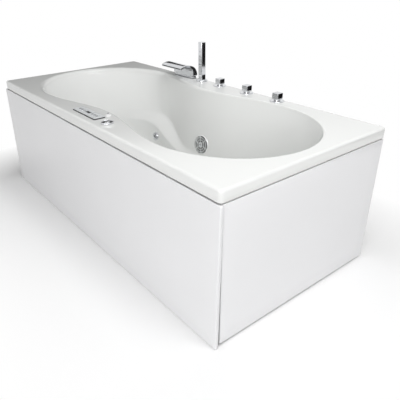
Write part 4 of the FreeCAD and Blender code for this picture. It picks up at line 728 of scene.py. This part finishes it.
def suctionGrille(g):
    # slotted dome, and the dark screen and sleeve behind it
    radii = [g["radius"], *np.linspace(*g["rim"], 4)]
    for outer, inner in g["slots"]:
        radii += [outer, (outer + inner) / 2, inner, inner - g["slotEdge"]]
    radii = np.array(radii + list(g["hub"]))
    angle = np.linspace(0, 2 * math.pi, g["count"], endpoint=False)
    flatTop = radii[:, None, None] * circle(angle)
    height = grilleHeight(g, radii)
    lower = np.maximum(height - g["thick"], g["leastLow"])
    top = np.concatenate([flatTop, np.repeat(height[:, None, None], g["count"], 1)], -1)
    under = np.concatenate([flatTop * g["underShare"], np.repeat(lower[:, None, None], g["count"], 1)], -1)
    middle = (radii[:-1] + radii[1:]) / 2
    inSlot = np.zeros(len(middle), bool)
    for outer, inner in g["slots"]:
        inSlot |= (middle < outer) & (middle > inner)
    sector = (angle + angle[1] / 2 + g["spokeTurn"]) * g["spokes"] / (2 * math.pi) % 1
    spoke = np.abs(sector - 0.5) > 0.5 - g["spokeShare"] / 2
    kept = ~(inSlot[:, None] & ~spoke[None, :])
    points, faces = sheetFaces(top, under, kept)
    turn = seatTurn(*wallSpots["suction"])
    item = meshOf("suctionGrille", moved(points, turn), faces, "tub", "chrome", fineEdge)
    item.data.materials[0] = polished("grilleChrome", g["colour"], g["gloss"])
    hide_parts("suction_grille")
    item = meshOf("suctionScreen", *lathe(g["screen"], g["screenCount"], turn), "tub", "rubber", fineEdge)
    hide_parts("suction_grille")


jetRings(jetShape)
suctionGrille(grille)
print("wall fittings made")


# deck fittings: squares and circles of equal counts, so that a round neck runs into a square block

squareCounts = {"perSide": 8, "perCorner": 6}
crownSteps = (0.6, 0.2)         # rows of a flat top, as shares of its half width
mostCorner = 0.999              # a square's corner radius at most, as a share of its half width
circleSpread = 0.15            # corner radius of the square that sets how circle points are spread


def squareRings(rows, corner):
    # rounded squares of the given (half width, height) rows
    rings = []
    for half, z in rows:
        ring = roundedRectangle(2 * half, 2 * half, min(corner, half * mostCorner), **squareCounts)
        rings.append(flat(ring, z))
    return rings


def roundRings(rows):
    # circles of the given (radius, height) rows, with the count and start of the rounded squares
    square = roundedRectangle(2, 2, circleSpread, **squareCounts)
    angle = np.unwrap(np.arctan2(square[:, 1], square[:, 0]))
    return [flat(radius * circle(angle), z) for radius, z in rows]


def edgeRows(half, low, high, edge):
    # rows of a block whose bottom and top edges are rounded, and two more on its top
    arc = np.linspace(0, math.pi / 2, 5)
    bottom = [(half - edge * (1 - math.sin(a)), low + edge * (1 - math.cos(a))) for a in arc]
    upper = [(inset, low + high - z) for inset, z in bottom[::-1]]
    return bottom + upper + [(half * k, high) for k in crownSteps]


tapSpots = {"tap_knob_diverter": "tap_diverter", "tap_knob_hot": "tap_hot", "tap_knob_cold": "tap_cold"}
tapShape = {"half": 0.0165, "height": 0.027, "corner": 0.0022, "edge": 0.0016,
            "neck": 0.0140, "neckEdge": 0.0008, "neckHeight": 0.0060, "neckTop": 0.0004,
            "lineRise": 0.0050, "lineHalf": 0.0007, "grooveHalf": 0.0006, "groove": 0.0009,
            "spindle": 0.005, "drop": 0.0375}


def tapKnob(node, body, t):
    # spindle, neck and cube in one skin, with a shadow line cut round the cube
    x, y, low, top = upright(node)
    foot = top - t["height"]
    neckFoot = foot - t["neckHeight"]
    line, wide, deep = foot + t["lineRise"], t["lineHalf"], t["grooveHalf"]
    half, inner = t["half"], t["half"] - t["groove"]
    rows = edgeRows(half, foot, top, t["edge"])
    cutLine = [(half, line - wide), (inner, line - deep), (inner, line + deep), (half, line + wide)]
    square = [row for row in rows if row[1] < line] + cutLine + [row for row in rows if row[1] > line]
    neck = [(t["spindle"], neckFoot - t["drop"]), (t["spindle"], neckFoot),
            (t["neck"] - t["neckEdge"], neckFoot), (t["neck"], neckFoot + t["neckEdge"]),
            (t["neck"], foot - t["neckTop"]), (t["neck"], foot)]
    rings = np.array(roundRings(neck) + squareRings(square, t["corner"])) + np.array([x, y, 0])
    item = meshOf(node.replace("tap_knob_", "tapCube"), *closedLoft(rings), body, "chrome", blockEdge)
    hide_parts(node)


stick = {"half": 0.0135, "corner": 0.0030, "edge": 0.0020, "tail": 0.009, "tailLength": 0.090,
         "barb": 0.006, "barbEdge": 0.001, "barbLength": 0.014,
         "jets": (0.044, 0.084, 0.118), "jetSink": 0.0004, "jetCount": 32,
         "jetFace": ((0.0001, -0.0030), (0.0036, -0.0030), (0.0036, 0.0), (0.0030, 0.0005), (0.0022, 0.0005),
                     (0.0016, -0.0006), (0.0001, -0.0006))}


def handShower(k):
    # square stick with rounded edges, its round tail and barb below, and rubber spray jets on its face
    x, y, low, top = upright("hand_shower")
    neck = low + k["barbLength"]
    base = neck + k["tailLength"]
    tail = [(k["barb"] - k["barbEdge"], low), (k["barb"], low + k["barbEdge"]), (k["barb"], neck),
            (k["tail"], neck), (k["tail"], base)]
    square = squareRings(edgeRows(k["half"], base, top, k["edge"]), k["corner"])
    rings = np.array(roundRings(tail) + square) + np.array([x, y, 0])
    item = meshOf("showerStick", *closedLoft(rings), "shower_stick", "chrome", blockEdge)
    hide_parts("hand_shower")
    face = y - k["half"] + k["jetSink"]
    jets = [lathe(k["jetFace"], k["jetCount"], seatTurn((x, face, top - drop), (0, -1, 0)))
            for drop in k["jets"]]
    item = meshOf("showerJets", *joined(jets), "shower_stick", "rubber", fineEdge)
    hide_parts("hand_shower")


socket = {"baseRadius": 0.028, "baseHeight": 0.008, "baseEdge": 0.002, "foot": 0.0004, "half": 0.0135,
          "corner": 0.003, "guide": 0.016, "bore": 0.00905,
          "holder": ((0.0, 0.0010), (0.0003, 0.0003), (0.0010, 0.0))}


def showerSocket(k):
    # round base that turns into the square holder, with the guide tube below and the bore through it
    x, y, low, top = upright("shower_socket")
    deck, r = bath["top"], k["baseRadius"]
    baseTop = deck + k["baseHeight"]
    outside = [(k["guide"], low), (k["guide"], deck), (r - k["foot"], deck), (r, deck + k["foot"])]
    outside += shoulder(r, baseTop, k["baseEdge"])
    holder = [(k["half"], baseTop)] + stepped(k["half"], top, k["holder"])
    bore = roundRings([(k["bore"], top), (k["bore"], low)])
    rings = np.array(roundRings(outside) + squareRings(holder, k["corner"]) + bore) + np.array([x, y, 0])
    item = meshOf("showerSocket", *loopedLoft(rings), "tub", "chrome", blockEdge)
    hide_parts("shower_socket")


# rim steps are (inset, drop) from the knob's edge and top; boss points are (radius, drop)
knob = {"radius": 0.0239, "stem": 0.005, "stemLength": 0.007, "footEdge": 0.0006, "footRise": 0.0008,
        "rim": ((0.0, 0.0022), (0.0006, 0.0012), (0.0016, 0.0008), (0.0022, 0.0010), (0.0026, 0.0016),
                (0.0032, 0.0018)),
        "boss": ((0.0092, 0.0016), (0.0086, 0.0014), (0.0082, 0.0004), (0.0076, 0.0), (0.0024, 0.0)),
        "flutes": 30, "fluteDepth": 0.018, "count": 240}


def airKnob(k):
    # fluted rim, dished face and raised centre
    x, y, low, top = upright("air_control_knob")
    base, r = low + k["stemLength"], k["radius"]
    profile = [(k["stem"], low), (k["stem"], base), (r - k["footEdge"], base), (r, base + k["footRise"])]
    profile += stepped(r, top, k["rim"]) + [(radius, top - drop) for radius, drop in k["boss"]]

    def flutes(angle):
        return 1 - k["fluteDepth"] * np.abs(np.sin(angle * k["flutes"] / 2)) ** 4

    item = meshOf("airKnob", *lathe(profile, k["count"], upTurn(x, y), flutes), "air_knob", "chrome", fineEdge)
    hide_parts("air_control_knob")


rose = {"radius": 0.0315, "height": 0.0028, "hole": 0.0133, "edge": 0.0012, "foot": 0.0003, "crown": 0.0001,
        "crownShare": 0.8, "holeEdge": 0.0005, "count": 96}


def tapRoses(k):
    # thin discs with a rounded edge, one under each tap
    deck, r, hole = bath["top"], k["radius"], k["hole"]
    top = deck + k["height"]
    profile = [(hole, deck), (r - k["foot"], deck), (r, deck + k["foot"]), *shoulder(r, top, k["edge"])]
    profile += [(r * k["crownShare"], top + k["crown"]), (hole + k["holeEdge"], top),
                (hole, top - k["holeEdge"])]
    bodies = [hollowLathe(profile, k["count"], upTurn(*upright(node)[:2])) for node in tapSpots]
    item = meshOf("tapRoses", *joined(bodies), "tub", "chrome", fineEdge)
    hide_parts("tap_roses")


def arcThrough(first, middle, last, count):
    # points of the circle through three points of a plane, from the first to the last
    a, b, c = (np.array(v, float) for v in (first, middle, last))
    system = 2 * np.array([b - a, c - a])
    centre = np.linalg.solve(system, np.array([b @ b - a @ a, c @ c - a @ a]))
    turns = [math.atan2(*(v - centre)[::-1]) for v in (a, b, c)]
    toMiddle = (turns[1] - turns[0] + math.pi) % (2 * math.pi) - math.pi
    toLast = (turns[2] - turns[1] + math.pi) % (2 * math.pi) - math.pi
    angle = np.linspace(turns[0], turns[0] + toMiddle + toLast, count)
    return centre + np.linalg.norm(a - centre) * circle(angle)


def evenly(curve, count):
    # the same curve with points at even steps of its length
    run = np.concatenate([[0], np.cumsum(np.linalg.norm(np.diff(curve, axis=0), axis=1))])
    at = np.linspace(0, run[-1], count)
    return np.stack([np.interp(at, run, curve[:, 0]), np.interp(at, run, curve[:, 1])], -1)


spout = {
    "x": -0.288, "back": 0.385, "reach": 0.107, "top": 0.638, "thick": 0.009, "foot": 0.579,
    "footDepth": 0.029, "width": 0.165, "corner": 0.0016, "trim": 0.0008, "rows": 72,
    "baseWidth": 0.144, "baseCorner": 0.002, "baseTrim": (0.0006, 0.0004), "deck": 0.5665,
    "crestShare": 0.36, "bulge": (0.013, 0.009), "shoulder": (0.022, 0.003),
    "throat": ((0.0, 0.034), (0.002, 0.022), (0.008, 0.012)), "underside": (0.032, 0.001),
    "mouthTrim": 0.010, "mouthShare": 0.42, "mouthCorner": 0.0012, "lipTrim": 0.004, "lipShare": 0.85,
    "mouthRows": (1, 2, 4, 6, 8, 10, 12), "arcPoints": 60, "throatPoints": 20, "sectionCounts": (16, 5),
    "mostCorner": 0.49,
    "shankY": 0.370, "shankBore": 0.007, "shankRadius": 0.010, "shankCount": 48, "low": 0.517,
}


def spoutSides(w):
    # side view of the blade: its upper curve and its lower one, from the foot to the tip
    back, top, foot, thick = w["back"], w["top"], w["foot"], w["thick"]
    tip, front, lower = back - w["reach"], back - w["footDepth"], top - thick
    crest = tip + w["reach"] * w["crestShare"]
    turning = (crest + w["shoulder"][0], top - w["shoulder"][1])
    bulge = (back - w["bulge"][0], (foot + top) / 2 + w["bulge"][1])
    low, bend, high = ((front - inset, lower - drop) for inset, drop in w["throat"])
    hollow = (tip + w["underside"][0], lower - w["underside"][1])
    many, few = w["arcPoints"], w["throatPoints"]
    upperRun = [arcThrough((back, foot), bulge, turning, many),
                arcThrough(turning, (crest, top), (tip, top - thick), many)[1:]]
    lowerRun = [np.linspace((front, foot), low, few), arcThrough(low, bend, high, few)[1:],
                arcThrough(high, hollow, (tip, lower - thick), many)[1:]]
    return (evenly(np.concatenate(run), w["rows"]) for run in (upperRun, lowerRun))


def spoutBlade(w):
    # rounded oblong sections between the blade's side curves, from the foot to the tip, then back
    # inside as the mouth
    outer, inner = spoutSides(w)

    def section(high, low, width, radius):
        across = np.linalg.norm(high - low)
        ring = roundedRectangle(width, across, min(radius, across * w["mostCorner"]), *w["sectionCounts"])
        up = (high - low) / across
        middle = (high + low) / 2
        return np.stack([ring[:, 0], middle[0] + ring[:, 1] * up[0], middle[1] + ring[:, 1] * up[1]], -1)

    def block(z, trim):
        high, low = (w["back"] - trim, z), (w["back"] - w["footDepth"] + trim, z)
        return section(np.array(high), np.array(low), w["baseWidth"] - 2 * trim, w["baseCorner"])

    def mouth(high, low, share, width):
        middle = (high + low) / 2
        high, low = (middle + (side - middle) * share for side in (high, low))
        return section(high, low, width, w["mouthCorner"])

    footTrim, topTrim = w["baseTrim"]
    rings = [block(w["deck"], footTrim), block(w["deck"] + footTrim, 0.0), block(w["foot"] - topTrim, 0.0),
             block(w["foot"], topTrim), section(outer[0], inner[0], w["width"] - w["trim"], w["corner"])]
    rings += [section(high, low, w["width"], w["corner"]) for high, low in zip(outer[1:], inner[1:])]
    rings += [mouth(outer[-1], inner[-1], w["lipShare"], w["width"] - w["lipTrim"])]
    rings += [mouth(outer[-k], inner[-k], w["mouthShare"], w["width"] - w["mouthTrim"])
              for k in w["mouthRows"]]
    rings = np.array(rings)[:, ::-1] + np.array([w["x"], 0, 0])
    bore, radius = w["shankBore"], w["shankRadius"]
    shank = hollowLathe([(bore, w["low"]), (radius, w["low"]), (radius, w["deck"]), (bore, w["deck"])],
                        w["shankCount"], upTurn(w["x"], w["shankY"]))
    item = meshOf("spoutBlade", *joined([closedLoft(rings), shank]), "tub", "chrome", blockEdge)
    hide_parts("waterfall_spout")


# the skirt's steps are (inset, drop) from the key's side and its foot, the cap's from its side and top
keys = {"numbers": range(1, 7), "radius": 0.0045, "count": 64,
        "skirt": ((0.0015, 0.0), (-0.0012, -0.0001), (-0.0012, -0.0010), (0.0, -0.0010)),
        "cap": ((0.0, 0.0005), (0.0002, 0.0001), (0.0006, 0.0), (0.0011, 0.0003), (0.002475, 0.0006),
                (0.0044, 0.0007))}
# the panel's dark band is painted shade: a black ring that stands for the shadow gap under the raised panel
keypad = {"shadeBand": 0.0012, "shadeBandHeight": 0.0038, "shadeBandFoot": 0.0001, "shadeBandEdge": 0.0003, "shadeBandIn": 0.0002,
          "corner": 0.003,
          "trimOut": 0.0014, "trim": ((0.0, 0.0), (0.0002, -0.0004), (0.0008, -0.0004), (0.0010, 0.0))}


def keyCaps(k):
    # dished caps with a raised rim, on the skirt that holds each key under the panel
    for number in k["numbers"]:
        node = f"panel_key_{number}"
        x, y, base, top = upright(node)
        profile = stepped(k["radius"], base, k["skirt"]) + stepped(k["radius"], top, k["cap"])
        cap = lathe(profile, k["count"], upTurn(x, y))
        item = meshOf(f"keyCap{number}", *cap, f"key_{number}", "key_grey", fineEdge)
        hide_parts(node)


def keypadFrame(p, k):
    # dark band round the foot of the panel, painted shade that stands for the shadow gap under it, and a fine
    # chrome ring round each key
    low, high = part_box("control_panel")
    middle = np.array([(low.x + high.x) / 2, (low.y + high.y) / 2, 0])
    deck, wide, thin = bath["top"], p["shadeBand"], p["shadeBandIn"]
    top = deck + p["shadeBandHeight"]
    rings = []
    for out, z in ((thin, deck), (wide, deck + p["shadeBandFoot"]), (wide, top), (thin, top + p["shadeBandEdge"])):
        ring = roundedRectangle(high.x - low.x + 2 * out, high.y - low.y + 2 * out, p["corner"] + out)
        rings.append(flat(ring, z) + middle)
    # black band of painted shade round the panel's foot
    meshOf("keypadSeal", *loopedLoft(np.array(rings)), "tub", "rubber", fineEdge)
    profile = stepped(k["radius"] + p["trimOut"], high.z, p["trim"])
    bodies = [hollowLathe(profile, k["count"], upTurn(*upright(f"panel_key_{number}")[:2]))
              for number in k["numbers"]]
    meshOf("keypadTrim", *joined(bodies), "tub", "chrome", fineEdge)


button = {"radius": 0.0075, "edge": 0.002, "dome": 0.0006, "lens": 0.0058, "flange": 0.003, "edgeRows": 6,
          "count": 96, "lensCount": 64,
          "seat": ((-0.0004, 0.0002), (0.0, 0.0005), (0.0057, 0.0012)),
          "glass": ((0.0002, 0.0010), (0.0002, 0.0005), (0.00174, 0.0001), (0.0057, 0.0)),
          "gap": 0.0003, "tube": 0.0015, "ringEdge": 0.0015, "boreEdge": (0.0012, 0.0010)}


def lightButton(b):
    # domed white cap with a dark lens let into its top, in a flanged ring
    x, y, low, top = upright("light_button")
    turn = upTurn(x, y)
    r, lens = b["radius"], b["lens"]
    profile = [(r, low)] + shoulder(r, top - b["dome"], b["edge"], b["edgeRows"])
    profile += stepped(lens, top, b["seat"])
    item = meshOf("buttonCap", *lathe(profile, b["count"], turn), "light_push", "white_plastic", fineEdge)
    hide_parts("light_button")
    glass = stepped(lens, top, b["glass"])
    meshOf("buttonLens", *lathe(glass, b["lensCount"], turn), "light_push", "rubber", fineEdge)
    ringLow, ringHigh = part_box("light_button_ring")
    wide, deck, bore = (ringHigh.x - ringLow.x) / 2, bath["top"], r + b["gap"]
    flange = deck + b["flange"]
    profile = [(bore, ringLow.z), (r + b["tube"], ringLow.z), (r + b["tube"], deck), (wide, deck)]
    profile += shoulder(wide, flange, b["ringEdge"], b["edgeRows"])
    profile += [(bore + b["boreEdge"][0], flange), (bore, flange - b["boreEdge"][1])]
    item = meshOf("buttonRing", *hollowLathe(profile, b["count"], turn), "tub", "white_plastic", fineEdge)
    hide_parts("light_button_ring")


for node, body in tapSpots.items():
    tapKnob(node, body, tapShape)
tapRoses(rose)
handShower(stick)
showerSocket(socket)
airKnob(knob)
spoutBlade(spout)
keyCaps(keys)
keypadFrame(keypad, keys)
lightButton(button)
print("deck fittings made")


# studio: pale floor that is white away from the bath, soft lamps, and cards that only reflections show

room = {
    "floor": (0.93, 0.93, 0.93), "floorTone": 1.01, "floorScale": 1.5, "floorGloss": 0.9, "floorSheen": 0.1,
    "size": 30.0, "sky": 0.4,
    "footHalf": (0.86, 0.41), "fadeStart": 0.10, "fadeRun": 0.45,
    "lamps": {
        "keyLamp": {"place": (1.6, -0.2, 2.6), "target": (0.5, 0, 0.5), "size": (1.2, 1.2), "power": 35.0},
        "frontLamp": {"place": (2.1, -2.8, 1.4), "target": (0.6, -0.4, 0.3), "size": (1.8, 1.2),
                      "power": 36.5},
        "topLamp": {"place": (-0.2, 0.9, 3.2), "target": (0.0, 0, 0.3), "size": (1.2, 1.2), "power": 5.0},
    },
    "cards": {
        "rightCard": {"place": (1.65, 1.85, 0.35), "target": (0.0, 0.3, 0.6), "size": (1.5, 1.1),
                      "tone": 0.02},
        "backCard": {"place": (-3.85, 1.0, 1.4), "target": (0.0, 0.3, 0.6), "size": (3.6, 1.8),
                     "tone": 0.12},
    },
}


def shownToEye(tree):
    # 1 for camera, glossy and transmission rays
    path = addNode(tree, "ShaderNodeLightPath", {}, {})
    return (path["Is Camera Ray"] + path["Is Glossy Ray"] + path["Is Transmission Ray"]).least(1.0)


def facing(place, target):
    aim = Vector(target) - Vector(place)
    return Matrix.Translation(place) @ aim.to_track_quat("-Z", "Y").to_matrix().to_4x4()


def sheet(name, halfX, halfY):
    # flat four-cornered object
    mesh = bpy.data.meshes.new(name)
    corners = [(-halfX, -halfY, 0), (halfX, -halfY, 0), (halfX, halfY, 0), (-halfX, halfY, 0)]
    mesh.from_pydata(corners, [], [(0, 1, 2, 3)])
    item = bpy.data.objects.new(name, mesh)
    bpy.context.scene.collection.objects.link(item)
    return item


def makeFloor(r):
    # white grows with the distance from the bath's footprint
    floor = sheet("floor", r["size"], r["size"])
    paint = Finish("floorPaint", r["floor"], r["floorGloss"], Specular_IOR_Level=r["floorSheen"])
    lighter = [c * r["floorTone"] for c in r["floor"]]
    paint.set("Base Color", paint.tint(paint.noise(r["floorScale"]), r["floor"], lighter))
    parts = paint.node("ShaderNodeSeparateXYZ", {}, {"Vector": paint.place})
    overX, overY = ((parts[axis].size() - half).most(0.0) for axis, half in zip("XY", r["footHalf"]))
    away = ((overX ** 2 + overY ** 2) ** 0.5 - r["fadeStart"]) * (1 / r["fadeRun"])
    share = away.most(0.0).least(1.0) * shownToEye(paint.tree)
    white = paint.node("ShaderNodeEmission", {}, {"Color": (1, 1, 1, 1), "Strength": 1.0})["Emission"]
    lit = Flow(paint.tree, paint.shader.outputs[0])
    mixed = paint.node("ShaderNodeMixShader", {}, {0: share, 1: lit, 2: white})["Shader"]
    paint.tree.links.new(mixed.socket, paint.tree.nodes["Material Output"].inputs["Surface"])
    floor.data.materials.append(paint.material)


def makeSky(r):
    world = bpy.data.worlds.new("studio")
    bpy.context.scene.world = world
    world.use_nodes = True
    sky = world.node_tree.nodes["Background"]
    sky.inputs["Color"].default_value = (1, 1, 1, 1)
    strength = shownToEye(world.node_tree) * (1 - r["sky"]) + r["sky"]
    world.node_tree.links.new(strength.socket, sky.inputs["Strength"])


def softLamp(name, facts):
    lamp = bpy.data.lights.new(name, "AREA")
    lamp.shape = "RECTANGLE"
    lamp.size, lamp.size_y = facts["size"]
    lamp.energy = facts["power"]
    item = bpy.data.objects.new(name, lamp)
    item.matrix_world = facing(facts["place"], facts["target"])
    bpy.context.scene.collection.objects.link(item)


clothLook = {"gloss": 0.9, "weaveScale": 30.0, "weave": 0.1, "leastGloss": 0.85}


def reflectionCard(name, facts):
    # dull board at the edge of the studio that only polished surfaces mirror
    card = sheet(name, facts["size"][0] / 2, facts["size"][1] / 2)
    card.matrix_world = facing(facts["place"], facts["target"])
    look = clothLook
    cloth = Finish(name + "Cloth", (facts["tone"],) * 3, look["gloss"], Specular_IOR_Level=0.0)
    cloth.set("Roughness", cloth.noise(look["weaveScale"]) * look["weave"] + look["leastGloss"])
    card.data.materials.append(cloth.material)
    card.visible_camera = card.visible_diffuse = card.visible_shadow = False


makeFloor(room)
makeSky(room)
for name, facts in room["lamps"].items():
    softLamp(name, facts)
for name, facts in room["cards"].items():
    reflectionCard(name, facts)
bpy.context.scene.view_settings.view_transform = "Standard"
print("studio lit")
